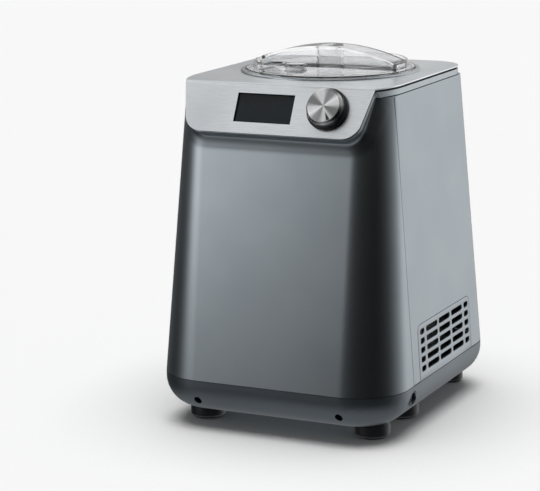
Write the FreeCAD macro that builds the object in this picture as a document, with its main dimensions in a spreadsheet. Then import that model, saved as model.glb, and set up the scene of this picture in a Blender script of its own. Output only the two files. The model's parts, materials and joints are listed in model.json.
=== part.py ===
import FreeCAD, Part
import math
import os
import re

import Sketcher

Vector = FreeCAD.Vector
Rotation = FreeCAD.Rotation
document = FreeCAD.newDocument("IceCreamMaker")

# ---------------------------------------------------------------------------
# Driving dimensions, in millimetres and degrees. +Z is up, the front faces -Y
# and the origin is on the floor under the middle of the machine.
# ---------------------------------------------------------------------------
SIZES = [
    ("body_width", 248, "housing width at the base seam"),
    ("body_depth", 285, "housing depth at the base seam"),
    ("base_seam", 49, "height of the seam between base tray and housing"),
    ("base_bottom", 15.5, "height of the tray's underside"),
    ("base_rounding", 29, "radius of the tray's lower edge"),
    ("corner_low", 50, "upright corner radius at the base seam"),
    ("corner_high", 30, "upright corner radius under the collar"),
    ("tray_wall", 3, "wall of the base tray"),
    ("shell_wall", 2.5, "wall of the housing panels"),
    ("seam_gap", 0.5, "open joint between outer panels"),
    ("plate_height", 330, "height of the steel top plate"),
    ("plate_half", 106, "half width of the top plate"),
    ("plate_rear", 109, "rear edge of the top plate"),
    ("plate_rear_corner", 35, "rear corner radius of the top plate"),
    ("plate_front_arc", 97, "radius of the plate's front shoulders"),
    ("plate_arc_start", 62, "distance in front of the middle where the shoulders start"),
    ("fold_front", 105.5, "distance of the fold in front of the middle"),
    ("fold_radius", 5, "bend radius of the fold"),
    ("fascia_tilt", 27.25, "fascia's normal above the horizontal"),
    ("fascia_top_half", 96, "half width of the fascia at the fold"),
    ("fascia_taper", 0.214, "narrowing of the fascia per millimetre"),
    ("fascia_length", 48.8, "length of the fascia down its slope"),
    ("fascia_corner", 18, "radius of the fascia's lower corners"),
    ("plate_sheet", 1.2, "thickness of the steel plate"),
    ("gasket_depth", 3.0, "depth of the gasket's underside"),
    ("gasket_inset", 1.8, "gasket's outer edge inside the plate's"),
    ("gasket_width", 5, "width of the gasket's strip"),
    ("frame_depth", 8.5, "depth of the collar's lower edge"),
    ("frame_web", 2, "thickness of the collar's web"),
    ("frame_rim", 6, "width of the collar's rim"),
    ("brow_depth", 30, "length of the brow behind the collar"),
    ("brow_wall", 3, "wall of the brow"),
    ("side_seam_low", 79, "front panel seam, in front of the middle, at the base"),
    ("side_seam_high", 83.5, "front panel seam under the collar"),
    ("rear_seam", 76, "half width of the rear panel"),
    ("grille_front", 62.5, "grille's front edge in front of the middle"),
    ("grille_rear", 74.5, "grille's rear edge behind the middle"),
    ("grille_top", 102.5, "height of the grille's top edge"),
    ("grille_corner", 7, "radius of the grille's upper corners"),
    ("slot_height", 5.5, "height of a grille slot"),
    ("slot_pitch", 8.9, "rise from one row of slots to the next"),
    ("slot_top", 95.1, "height of the top row of slots"),
    ("bowl_axis", 12.5, "bowl axis behind the middle"),
    ("bowl_radius", 73, "outer radius of the bowl"),
    ("bowl_wall", 1.2, "wall of the bowl"),
    ("bowl_bottom", 176.5, "height of the bowl's underside"),
    ("bowl_rim", 328.6, "height of the bowl's rim"),
    ("bowl_rim_radius", 78.5, "outer radius of the bowl's rim"),
    ("bowl_tube", 11.2, "outer radius of the bowl's centre tube"),
    ("bowl_tube_top", 205, "height of the bowl's centre tube"),
    ("well_radius", 75.4, "outer radius of the cooling well"),
    ("well_wall", 1.2, "wall of the cooling well"),
    ("well_bottom", 170, "height of the well's underside"),
    ("well_top", 327.2, "height of the well's flange"),
    ("well_flange", 82.8, "radius of the well's flange"),
    ("coil_tube", 3, "radius of the evaporator tube"),
    ("coil_pitch", 12, "rise of the evaporator coil per turn"),
    ("coil_low", 184, "height of the lowest turn"),
    ("coil_turns", 11, "turns of the evaporator coil"),
    ("foam_inner", 82.2, "inner radius of the insulation"),
    ("foam_outer", 90, "outer radius of the insulation"),
    ("foam_bottom", 157, "height of the insulation's underside"),
    ("ring_outer", 87, "outer radius of the trim ring"),
    ("ring_seat", 82.5, "radius of the seat in the trim ring"),
    ("ring_inner", 79, "inner radius of the trim ring"),
    ("ring_top", 331.8, "height of the trim ring"),
    ("lid_flange", 81.7, "radius of the lid's flange"),
    ("lid_bottom", 330.6, "height of the lid flange's underside"),
    ("lid_floor", 333.2, "height of the lid's floor"),
    ("lid_wall", 74.6, "outer radius of the lid's raised wall"),
    ("lid_wall_top", 339.5, "height of the lid's raised wall"),
    ("lid_skin", 1.8, "wall of the lid"),
    ("lid_skirt", 71.2, "outer radius of the skirt inside the bowl"),
    ("lid_skirt_drop", 8, "length of the skirt below the flange"),
    ("bridge_half", 15, "half width of the lid's handle bridge"),
    ("bridge_top", 354, "height of the handle bridge"),
    ("hub_tube", 13, "outer radius of the tube in the lid's middle"),
    ("cap_radius", 11, "radius of the refill cap"),
    ("cap_x", -24, "sideways place of the refill cap"),
    ("cap_y", -15.5, "refill cap in front of the middle"),
    ("cap_rise", 5, "height of the refill cap"),
    ("shaft_radius", 5, "radius of the drive shaft"),
    ("shaft_square", 7, "square on top of the drive shaft"),
    ("shaft_top", 215, "height of the drive shaft"),
    ("running_fit", 0.05, "radial clearance of a running fit"),
    ("gear_module", 1, "module of the gears"),
    ("output_teeth", 60, "teeth of the output gear"),
    ("small_teeth", 12, "teeth of the pinions"),
    ("idler_teeth", 48, "teeth of the idler's wheel"),
    ("gearbox_bottom", 118, "height of the gearbox's underside"),
    ("gearbox_top", 150, "height of the gearbox's cover"),
    ("motor_radius", 27, "radius of the motor's can"),
    ("motor_bottom", 50, "height of the motor's lower end"),
    ("compressor_x", -58, "compressor's middle sideways"),
    ("compressor_y", 82, "compressor's middle behind the middle"),
    ("compressor_radius", 47, "radius of the compressor's shell"),
    ("compressor_bottom", 36, "height of the compressor's underside"),
    ("compressor_top", 146, "height of the compressor"),
    ("grommet_reach", 30, "grommets beside the compressor's middle"),
    ("grommet_floor", 22, "height of the bosses under the grommets"),
    ("fan_size", 90, "side of the fan's frame"),
    ("fan_x", 48, "inner face of the fan's frame"),
    ("fan_y", 50, "fan's middle behind the middle"),
    ("fan_z", 82, "height of the fan's middle"),
    ("fan_thickness", 24, "thickness of the fan's frame"),
    ("condenser_x", 92, "condenser's middle sideways"),
    ("condenser_front", 45, "condenser's front end in front of the middle"),
    ("condenser_rear", 85, "condenser's rear end behind the middle"),
    ("condenser_half", 12, "half thickness of the condenser"),
    ("condenser_low", 52, "height of the lowest condenser run"),
    ("condenser_pitch", 20, "rise from run to run of the condenser"),
    ("condenser_tube", 3.5, "radius of the condenser's tube"),
    ("drier_y", -75, "drier's place along the depth"),
    ("drier_low", 48, "height of the drier's lower end"),
    ("drier_top", 100, "height of the drier's upper end"),
    ("knob_x", 54.4, "knob's middle sideways"),
    ("knob_drop", 22, "knob's middle down the fascia"),
    ("knob_radius", 17.5, "radius of the knob's metal cap"),
    ("knob_face", 15.5, "radius of the knob's spun face"),
    ("knob_height", 12, "knob's height over the fascia"),
    ("skirt_radius", 20, "radius of the knob's black skirt"),
    ("skirt_height", 4, "height of the knob's black skirt"),
    ("knob_clearance", 1.2, "gap under the knob"),
    ("display_left", 38.5, "display's left edge"),
    ("display_right", 19.3, "display's right edge"),
    ("display_top", 9.7, "display's top edge down the fascia"),
    ("display_bottom", 38, "display's bottom edge down the fascia"),
    ("display_recess", 2.4, "depth of the display window"),
    ("foot_radius", 17, "radius of the front and middle feet"),
    ("rear_foot_radius", 12, "radius of the rear feet"),
    ("foot_x", 86.5, "feet, sideways"),
    ("front_foot_y", 90.5, "front feet in front of the middle"),
    ("middle_foot_y", 18.5, "middle feet in front of the middle"),
    ("rear_foot_y", 117, "rear feet behind the middle"),
    ("pad_height", 2, "thickness of the rubber pads"),
    ("front_hole_x", 73, "front screw wells, sideways"),
    ("front_hole_z", 29, "front screw wells, height"),
    ("front_hole", 3.75, "radius of the front screw wells"),
    ("side_plug_y", 80, "side plugs in front of the middle"),
    ("side_plug_z", 37.5, "side plugs, height"),
    ("side_plug", 7.5, "radius of the side plugs"),
    ("recess_x", 112.5, "recesses under the side plugs, sideways"),
    ("recess_top", 25.5, "height of the recesses' ends"),
    ("recess", 3.1, "radius of the recesses"),
    ("screw_head", 3.2, "radius of the case screws' heads"),
    ("screw_shank", 1.6, "radius of the case screws' shanks"),
    ("gland_x", 50, "mains lead gland, sideways"),
    ("gland_z", 110, "mains lead gland, height"),
]
ALIASES = {alias for alias, value, meaning in SIZES}

sheet = document.addObject("Spreadsheet::Sheet", "Dims")
for row, (alias, value, meaning) in enumerate(SIZES, start=1):
    sheet.set("A%d" % row, meaning)
    sheet.set("B%d" % row, str(value))
    sheet.setAlias("B%d" % row, alias)
document.recompute()

NODES = []


# ---------------------------------------------------------------------------
# Helpers
# ---------------------------------------------------------------------------
def linked(text):
    """Puts the sheet's name before each alias, as expressions on other objects need."""
    def name(match):
        word = match.group()
        return "Dims." + word if word in ALIASES else word
    return re.sub(r"[a-z_]+", name, text)


def num(text):
    """Value of an expression in the sheet's aliases."""
    return float(sheet.evalExpression(text))


def bind(thing, **sizes):
    for key, text in sizes.items():
        thing.setExpression(key, linked(text))
    return thing


def place(thing, x="0", y="0", z="0", turn=None):
    """Puts a thing at a point given by expressions; turn is its rotation."""
    thing.Placement = FreeCAD.Placement(Vector(num(x), num(y), num(z)), turn or Rotation())
    for coordinate, text in zip("xyz", (x, y, z)):
        thing.setExpression("Placement.Base." + coordinate, linked(text))
    return thing


def node(label, thing):
    """Names a finished sub-part; its label is its file's name."""
    thing.Label = label
    NODES.append(thing)
    return thing


ALONG_X = Rotation(Vector(0, 1, 0), 90)
ALONG_Y = Rotation(Vector(1, 0, 0), -90)
TILT = math.radians(num("fascia_tilt"))
OUT = Vector(0, -math.cos(TILT), math.sin(TILT))
DOWN = Vector(0, -math.sin(TILT), -math.cos(TILT))
ON_FASCIA = Rotation(Vector(1, 0, 0), 90 - num("fascia_tilt"))


def fascia_point(x, drop, out):
    """Expressions for a point on the fascia: sideways, down its slope and out of it."""
    y = "-fold_front - (%s) * sin(fascia_tilt * 1deg) - (%s) * cos(fascia_tilt * 1deg)" % (drop, out)
    z = "plate_height - (%s) * cos(fascia_tilt * 1deg) + (%s) * sin(fascia_tilt * 1deg)" % (drop, out)
    return x, y, z


def cylinder(radius, height, x="0", y="0", z="0", turn=None):
    thing = document.addObject("Part::Cylinder", "Round")
    bind(thing, Radius=radius, Height=height)
    return place(thing, x, y, z, turn)


def block(length, width, height, x="0", y="0", z="0", turn=None):
    thing = document.addObject("Part::Box", "Block")
    bind(thing, Length=length, Width=width, Height=height)
    return place(thing, x, y, z, turn)


def fuse(*things):
    thing = document.addObject("Part::MultiFuse", "Fused")
    thing.Shapes = list(things)
    thing.Refine = True
    return thing


def cut(base, *tools):
    thing = document.addObject("Part::Cut", "Cut")
    thing.Base = base
    thing.Tool = tools[0] if len(tools) == 1 else fuse(*tools)
    return thing


def group(*things):
    """Identical pieces that share a node, as separate solids."""
    thing = document.addObject("Part::Compound", "Group")
    thing.Links = list(things)
    return thing


def feature(shape):
    thing = document.addObject("Part::Feature", "Shape")
    thing.Shape = shape
    return thing


def sketch_on(body, role, outline):
    """Sketches a closed outline of straight lines; each corner is a pair of expressions."""
    sketch = body.newObject("Sketcher::SketchObject", "Sketch")
    plane = [item for item in body.Origin.OriginFeatures if item.Role == role][0]
    sketch.AttachmentSupport = [(plane, "")]
    sketch.MapMode = "FlatFace"
    corners = [Vector(num(x), num(y), 0) for x, y in outline]
    for index, corner in enumerate(corners):
        following = corners[(index + 1) % len(corners)]
        sketch.addGeometry(Part.LineSegment(corner, following), False)
    for index in range(len(corners)):
        following = (index + 1) % len(corners)
        sketch.addConstraint(Sketcher.Constraint("Coincident", index, 2, following, 1))
    for index, (corner, pair) in enumerate(zip(corners, outline)):
        for kind, axis, value, text in (("DistanceX", -2, corner.x, pair[0]),
                                        ("DistanceY", -1, corner.y, pair[1])):
            if text == "0":
                sketch.addConstraint(Sketcher.Constraint("PointOnObject", index, 1, axis))
                continue
            number = sketch.addConstraint(Sketcher.Constraint(kind, -1, 1, index, 1, value))
            name = "%s_%d" % (kind, index)
            sketch.renameConstraint(number, name)
            sketch.setExpression("Constraints." + name, linked(text))
    return sketch


def turned(outline, x="0", y="0", z="0", turn=None):
    """A turned piece: corners are (radius, height) expressions about its own axis."""
    body = document.addObject("PartDesign::Body", "Turned")
    sketch = sketch_on(body, "XZ_Plane", outline)
    revolution = body.newObject("PartDesign::Revolution", "Revolution")
    revolution.Profile = sketch
    revolution.ReferenceAxis = (sketch, ["V_Axis"])
    revolution.Angle = 360
    body.Tip = revolution
    return place(body, x, y, z, turn)


def padded(outline, height, x="0", y="0", z="0", turn=None, role="XY_Plane"):
    """A piece cut from sheet: corners are (x, y) expressions, padded upwards."""
    body = document.addObject("PartDesign::Body", "Padded")
    sketch = sketch_on(body, role, outline)
    pad = body.newObject("PartDesign::Pad", "Pad")
    pad.Profile = sketch
    bind(pad, Length=height)
    body.Tip = pad
    return place(body, x, y, z, turn)


def arc_through(start, middle, end):
    return Part.Arc(start, middle, end).toShape()


def rounded_outline(half, front, rear, front_corner, rear_corner, height):
    """Closed wire of a rounded rectangle at a height, with its own front and rear corners."""
    diagonal = 1 - math.sqrt(0.5)
    edges = []
    corners = [(half, front, front_corner), (half, rear, rear_corner),
               (-half, rear, rear_corner), (-half, front, front_corner)]
    arcs = []
    for x, y, radius in corners:
        inward_x = -math.copysign(radius, x)
        inward_y = radius if y == front else -radius
        beside = Vector(x, y + inward_y, height)
        across = Vector(x + inward_x, y, height)
        middle = Vector(x + inward_x * diagonal, y + inward_y * diagonal, height)
        leads_in = across if (x > 0) == (y == front) else beside
        leads_out = beside if leads_in is across else across
        arcs.append((leads_in, middle, leads_out))
    for index, (start, middle, end) in enumerate(arcs):
        edges.append(arc_through(start, middle, end))
        following = arcs[(index + 1) % len(arcs)][0]
        edges.append(Part.makeLine(end, following))
    return Part.Wire(edges)


def prism(wire, direction):
    return Part.Face(wire).extrude(direction)


def profile_across(points, half_width):
    """Extrudes a closed outline in the YZ plane to both sides of the middle."""
    corners = [Vector(-half_width, y, z) for y, z in points]
    return prism(Part.makePolygon(corners + corners[:1]), Vector(2 * half_width, 0, 0))


def solid_of(shape):
    """The single solid of a boolean's result, or the whole shape when it has more."""
    shape = shape.removeSplitter()
    return shape.Solids[0] if len(shape.Solids) == 1 else shape


def pipe(points, radius, bend):
    """A tube along straight runs joined by tangent arcs."""
    points = [Vector(*point) for point in points]
    edges = []
    start = points[0]
    for before, corner, after in zip(points, points[1:], points[2:]):
        into = (corner - before).normalize()
        onward = (after - corner).normalize()
        angle = into.getAngle(onward)
        reach = bend * math.tan(angle / 2)
        first = corner - into * reach
        last = corner + onward * reach
        inward = (onward - into).normalize()
        middle = corner + inward * (bend / math.cos(angle / 2) - bend)
        if (first - start).Length > 1e-6:
            edges.append(Part.makeLine(start, first))
        edges.append(arc_through(first, middle, last))
        start = last
    edges.append(Part.makeLine(start, points[-1]))
    path = Part.Wire(edges)
    circle = Part.Wire(Part.makeCircle(radius, points[0], points[1] - points[0]))
    tube = path.makePipeShell([circle], True, False)
    if tube.Volume < 0:
        tube.reverse()
    wanted = math.pi * radius ** 2 * path.Length
    if abs(tube.Volume - wanted) > 0.01 * wanted:
        raise ValueError("a tube's volume is %.0f, not %.0f" % (tube.Volume, wanted))
    return tube


# ---------------------------------------------------------------------------
# Layers under the plate: the flat top and the fascia, bent at the fold
# ---------------------------------------------------------------------------
FOLD = Vector(0, -num("fold_front"), num("plate_height"))
MITRE = math.tan(math.radians(90 - num("fascia_tilt")) / 2)
SPAN = 140


def fold_at(depth):
    return FOLD + Vector(0, MITRE * depth, -depth)


def top_outline(inset, height):
    """The plate's outline seen from above, run on in front of the fold."""
    half = num("plate_half")
    radius = num("plate_front_arc")
    start = -num("plate_arc_start")
    centre_x = half - radius
    rear = num("plate_rear")
    corner = num("plate_rear_corner")
    reach = math.radians(36)
    halfway = reach / 2
    diagonal = corner * (1 - math.sqrt(0.5))

    def shoulder(side, angle):
        return Vector(side * (centre_x + radius * math.cos(angle)), start - radius * math.sin(angle), height)

    right_end = shoulder(1, reach)
    left_end = shoulder(-1, reach)
    edges = [Part.makeLine(left_end, right_end),
             arc_through(right_end, shoulder(1, halfway), shoulder(1, 0)),
             Part.makeLine(shoulder(1, 0), Vector(half, rear - corner, height)),
             arc_through(Vector(half, rear - corner, height), Vector(half - diagonal, rear - diagonal, height),
                         Vector(half - corner, rear, height)),
             Part.makeLine(Vector(half - corner, rear, height), Vector(corner - half, rear, height)),
             arc_through(Vector(corner - half, rear, height), Vector(diagonal - half, rear - diagonal, height),
                         Vector(-half, rear - corner, height)),
             Part.makeLine(Vector(-half, rear - corner, height), shoulder(-1, 0)),
             arc_through(shoulder(-1, 0), shoulder(-1, halfway), left_end)]
    face = Part.Face(Part.Wire(edges))
    return face.makeOffset2D(-inset) if inset else face


def fascia_outline(inset):
    """The fascia's outline in its own plane, run on above the fold."""
    taper = num("fascia_taper")
    above = 12
    length = num("fascia_length")
    radius = num("fascia_corner")
    lean = math.atan(taper)
    vertex_half = num("fascia_top_half") - taper * length
    reach = radius * math.tan((math.pi / 2 - lean) / 2)
    centre_half = vertex_half - reach
    centre_drop = length - radius

    def at(side, half, drop):
        return FOLD + Vector(side * half, 0, 0) + DOWN * drop

    def corner(side, angle):
        return at(side, centre_half + radius * math.cos(angle), centre_drop + radius * math.sin(angle))

    top_half = num("fascia_top_half") + taper * above
    middle = (math.pi / 2 + lean) / 2
    edges = [Part.makeLine(at(-1, top_half, -above), at(1, top_half, -above)),
             Part.makeLine(at(1, top_half, -above), corner(1, lean)),
             arc_through(corner(1, lean), corner(1, middle), corner(1, math.pi / 2)),
             Part.makeLine(corner(1, math.pi / 2), corner(-1, math.pi / 2)),
             arc_through(corner(-1, math.pi / 2), corner(-1, middle), corner(-1, lean)),
             Part.makeLine(corner(-1, lean), at(-1, top_half, -above))]
    face = Part.Face(Part.Wire(edges))
    return face.makeOffset2D(-inset) if inset else face


def slabs(near, far):
    """The flat and the sloping slab between two depths, meeting in the fold's mitre."""
    height = num("plate_height")
    near_fold, far_fold = fold_at(near), fold_at(far)
    near_tip, far_tip = near_fold + DOWN * 80, far_fold + DOWN * 80
    flat = profile_across([(SPAN, height - near), (near_fold.y, near_fold.z),
                           (far_fold.y, far_fold.z), (SPAN, height - far)], SPAN)
    slope = profile_across([(near_fold.y, near_fold.z), (near_tip.y, near_tip.z),
                            (far_tip.y, far_tip.z), (far_fold.y, far_fold.z)], SPAN)
    return flat, slope


def layer(near, far, inset):
    """The slab between two depths under the plate's surface, inset from its outline."""
    flat, slope = slabs(near, far)
    column = top_outline(inset, num("plate_height") - far - 1).extrude(Vector(0, 0, far - near + 2))
    face = fascia_outline(inset)
    face.translate(OUT * (1 - near))
    beam = face.extrude(OUT * (near - far - 2))
    return flat.common(column).fuse(slope.common(beam))


def round_hole(radius, low, high):
    """A round cutter about the bowl's axis."""
    return Part.makeCylinder(radius, high - low, Vector(0, num("bowl_axis"), low))


def fascia_block(left, right, top, bottom, near, far):
    """A block in the fascia's frame; near and far are depths under its surface."""
    corner = FOLD + Vector(left, 0, 0) + DOWN * bottom - OUT * far
    shape = Part.makeBox(right - left, bottom - top, far - near)
    shape.Placement = FreeCAD.Placement(corner, ON_FASCIA)
    return shape


def knob_hole(radius, near, far):
    centre = FOLD + Vector(num("knob_x"), 0, 0) + DOWN * num("knob_drop") - OUT * far
    return Part.makeCylinder(radius, far - near, centre, OUT)


def display_cutter(margin, near, far):
    return fascia_block(-num("display_left") - margin, num("display_right") + margin,
                        num("display_top") - margin, num("display_bottom") + margin, near, far)


def fold_edges(shape, depth):
    """Edges that run along the fold at a depth."""
    line = fold_at(depth)
    found = []
    for edge in shape.Edges:
        ends = [vertex.Point for vertex in edge.Vertexes]
        if len(ends) == 2 and all(abs(p.y - line.y) < 0.01 and abs(p.z - line.z) < 0.01 for p in ends):
            found.append(edge)
    return found


def make_top_plate():
    depth, radius = num("plate_sheet"), num("fold_radius")
    flat, slope = slabs(0, depth)
    strip = solid_of(flat.fuse(slope))
    strip = strip.makeFillet(radius - depth, fold_edges(strip, depth))
    strip = strip.makeFillet(radius, fold_edges(strip, 0))
    shape = strip.common(layer(-2, depth + 4, 0))
    shape = shape.cut([round_hole(num("ring_seat") + 1.2, 320, 340), knob_hole(6, -2, 5),
                       display_cutter(0, -2, 5)])
    return node("top_plate", feature(solid_of(shape))).Shape


def make_plate_gasket(plate):
    near, far = num("plate_sheet"), num("gasket_depth")
    inset = num("gasket_inset")
    shape = layer(near, far, inset).cut(layer(near - 1, far + 1, inset + num("gasket_width")))
    node("plate_gasket", feature(solid_of(shape.cut(plate))))


def make_top_frame():
    near, far = num("gasket_depth"), num("frame_depth")
    rim, web = num("frame_rim"), num("frame_web")
    shape = layer(near, far, 0).cut(layer(near + web, far + 1, rim))
    shape = shape.cut([round_hole(num("ring_seat") + 1.6, 300, 340), knob_hole(8, 0, 12),
                       display_cutter(1, 0, 12)])
    node("top_frame", feature(solid_of(shape)))


# ---------------------------------------------------------------------------
# Housing
# ---------------------------------------------------------------------------
def housing_section(height, inset):
    """The tapered housing's outline at a height."""
    low, high = num("base_seam"), num("plate_height")
    part = (height - low) / (high - low)

    def between(at_low, at_high):
        return at_low + (at_high - at_low) * part

    half = between(num("body_width") / 2, num("plate_half")) - inset
    front = -between(num("body_depth") / 2, num("fold_front")) + inset
    rear = between(num("body_depth") / 2, num("plate_rear")) - inset
    corner = between(num("corner_low"), num("corner_high")) - inset
    return rounded_outline(half, front, rear, corner, corner, height)


def taper(low, high, inset):
    return Part.makeLoft([housing_section(low, inset), housing_section(high, inset)], True, True)


def front_region(gap):
    """Everything in front of the leaning seam between front and side panels."""
    low, high = num("base_seam"), num("plate_height") - num("frame_depth")
    slope = (num("side_seam_high") - num("side_seam_low")) / (high - low)

    def seam(height):
        return -num("side_seam_low") - slope * (height - low) - gap

    bottom, top = 0, 360
    return profile_across([(-200, bottom), (seam(bottom), bottom), (seam(top), top), (-200, top)], SPAN)


def make_housing():
    """Front panel with its brow, two side panels and the rear panel."""
    gap = num("seam_gap")
    wall = num("shell_wall")
    low = num("base_seam") + gap
    collar = num("frame_depth") + gap - 0.1
    shell = taper(low, num("plate_height"), 0)
    above = layer(-40, collar, -20)
    brow = layer(collar, collar + num("brow_depth"), 0).common(front_region(0))
    outer = shell.fuse(brow).cut(above)
    hollow = taper(low - 5, num("plate_height") + 5, wall)
    brow_hollow = layer(-1, collar + num("brow_depth") + 20, num("brow_wall"))
    solid = solid_of(outer)
    front_only = solid.common(front_region(gap / 2))
    front_only = solid_of(front_only)
    front = front_only.cut([hollow, brow_hollow])
    node("front_housing", feature(solid_of(front)))

    walls = shell.cut(above).cut(hollow)
    rest = walls.cut(front_region(-gap / 2))
    seam = num("rear_seam")
    rear_box = Part.makeBox(2 * seam, 200, 400, Vector(-seam, 60, 0))
    gap_box = Part.makeBox(2 * (seam + gap), 200, 400, Vector(-seam - gap, 60, 0))
    rear = rest.common(rear_box)
    sides = rest.cut(gap_box)
    right_half = Part.makeBox(SPAN, 400, 400, Vector(0, -200, 0))
    right = solid_of(sides.common(right_half))
    left = solid_of(sides.cut(right_half))
    opening = grille_cutter(0.3)
    mirrored = opening.mirror(Vector(0, 0, 0), Vector(1, 0, 0))
    node("side_panel_right", feature(solid_of(right.cut(opening))))
    node("side_panel_left", feature(solid_of(left.cut(mirrored))))
    vents = [slot_across(x, 170 + 9 * row, 26) for row in range(7) for x in (-44, 0, 44)]
    vents += [slot_across(x, 82 + 9 * row, 26) for row in range(5) for x in (-44, 0)]
    gland = Part.makeCylinder(6.1, 60, Vector(num("gland_x"), 100, num("gland_z")), Vector(0, 1, 0))
    holes = [Part.makeCylinder(1.7, 60, Vector(x, 90, z), Vector(0, 1, 0)) for x, z in rear_screw_places()]
    node("rear_panel", feature(solid_of(rear.cut(vents + [gland] + holes))))
    return walls


def rear_screw_places():
    return [(side * (num("rear_seam") - 7), height) for side in (-1, 1) for height in (64, 190, 306)]


def rear_face(height):
    """Distance of the housing's rear face behind the middle."""
    low, high = num("base_seam"), num("plate_height")
    part = (height - low) / (high - low)
    return num("body_depth") / 2 + (num("plate_rear") - num("body_depth") / 2) * part


def slot_across(x, height, length):
    """A vent with round ends through the rear wall."""
    radius = num("slot_height") / 2
    reach = 60
    start = Vector(x - length / 2 + radius, 95, height)
    bar = Part.makeBox(length - 2 * radius, reach, 2 * radius, start - Vector(0, 0, radius))
    ends = [Part.makeCylinder(radius, reach, start + Vector(step, 0, 0), Vector(0, 1, 0))
            for step in (0, length - 2 * radius)]
    return bar.fuse(ends)


def grille_cutter(margin):
    """The grille's opening in the right side panel, as a block through the wall."""
    front, rear = -num("grille_front") - margin, num("grille_rear") + margin
    bottom, top = 40, num("grille_top") + margin
    corner = num("grille_corner") + margin
    shape = Part.makeBox(60, rear - front, top - bottom, Vector(90, front, bottom))
    upper = [edge for edge in shape.Edges
             if len(edge.Vertexes) == 2 and all(abs(v.Z - top) < 0.01 for v in edge.Vertexes)
             and abs(edge.Vertexes[0].Y - edge.Vertexes[1].Y) < 0.01]
    return shape.makeFillet(corner, upper)


def slot_rows():
    """Grille slots: the start and end of each column and the height of each row."""
    columns = [(-56.5, -46), (-41, -12), (-8, 21), (25.5, 54.5), (59.5, 70.5)]
    rows = 5
    return [(start, end, num("slot_top") - num("slot_pitch") * row)
            for row in range(rows) for start, end in columns]


def make_side_grilles(walls):
    inner = grille_cutter(0)
    radius = num("slot_height") / 2
    cutters = []
    for start, end, height in slot_rows():
        corner = 2.2
        shape = Part.makeBox(60, end - start, 2 * radius, Vector(90, start, height - radius))
        along = [edge for edge in shape.Edges
                 if abs(edge.Vertexes[0].X - edge.Vertexes[1].X) > 1]
        cutters.append(shape.makeFillet(corner, along))
    right = solid_of(walls.common(inner).cut(cutters))
    left = right.mirror(Vector(0, 0, 0), Vector(1, 0, 0))
    node("side_grille_right", feature(right))
    node("side_grille_left", feature(left))


# ---------------------------------------------------------------------------
# Base
# ---------------------------------------------------------------------------
def tray_block(inset):
    """The base tray's outer shape, or its hollow when inset."""
    bottom = num("base_bottom") + inset
    half, depth = num("body_width") / 2 - inset, num("body_depth") / 2 - inset
    corner = num("corner_low") - inset
    wire = rounded_outline(half, -depth, depth, corner, corner, bottom)
    shape = prism(wire, Vector(0, 0, num("base_seam") - bottom))
    lower = [edge for edge in shape.Edges if all(abs(v.Z - bottom) < 0.01 for v in edge.Vertexes)]
    return shape.makeFillet(num("base_rounding") - inset, lower)


def foot_places():
    """Middle and radius of each foot."""
    front = (-num("front_foot_y"), num("foot_radius"))
    middle = (-num("middle_foot_y"), num("foot_radius"))
    rear = (num("rear_foot_y"), num("rear_foot_radius"))
    return [(side * num("foot_x"), y, radius) for side in (-1, 1) for y, radius in (front, middle, rear)]


def grommet_places():
    """Middles of the four rubber mounts under the compressor."""
    reach = num("grommet_reach")
    return [(num("compressor_x") + step_x * reach, num("compressor_y") + step_y * reach)
            for step_x in (-1, 1) for step_y in (-1, 1)]


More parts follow.
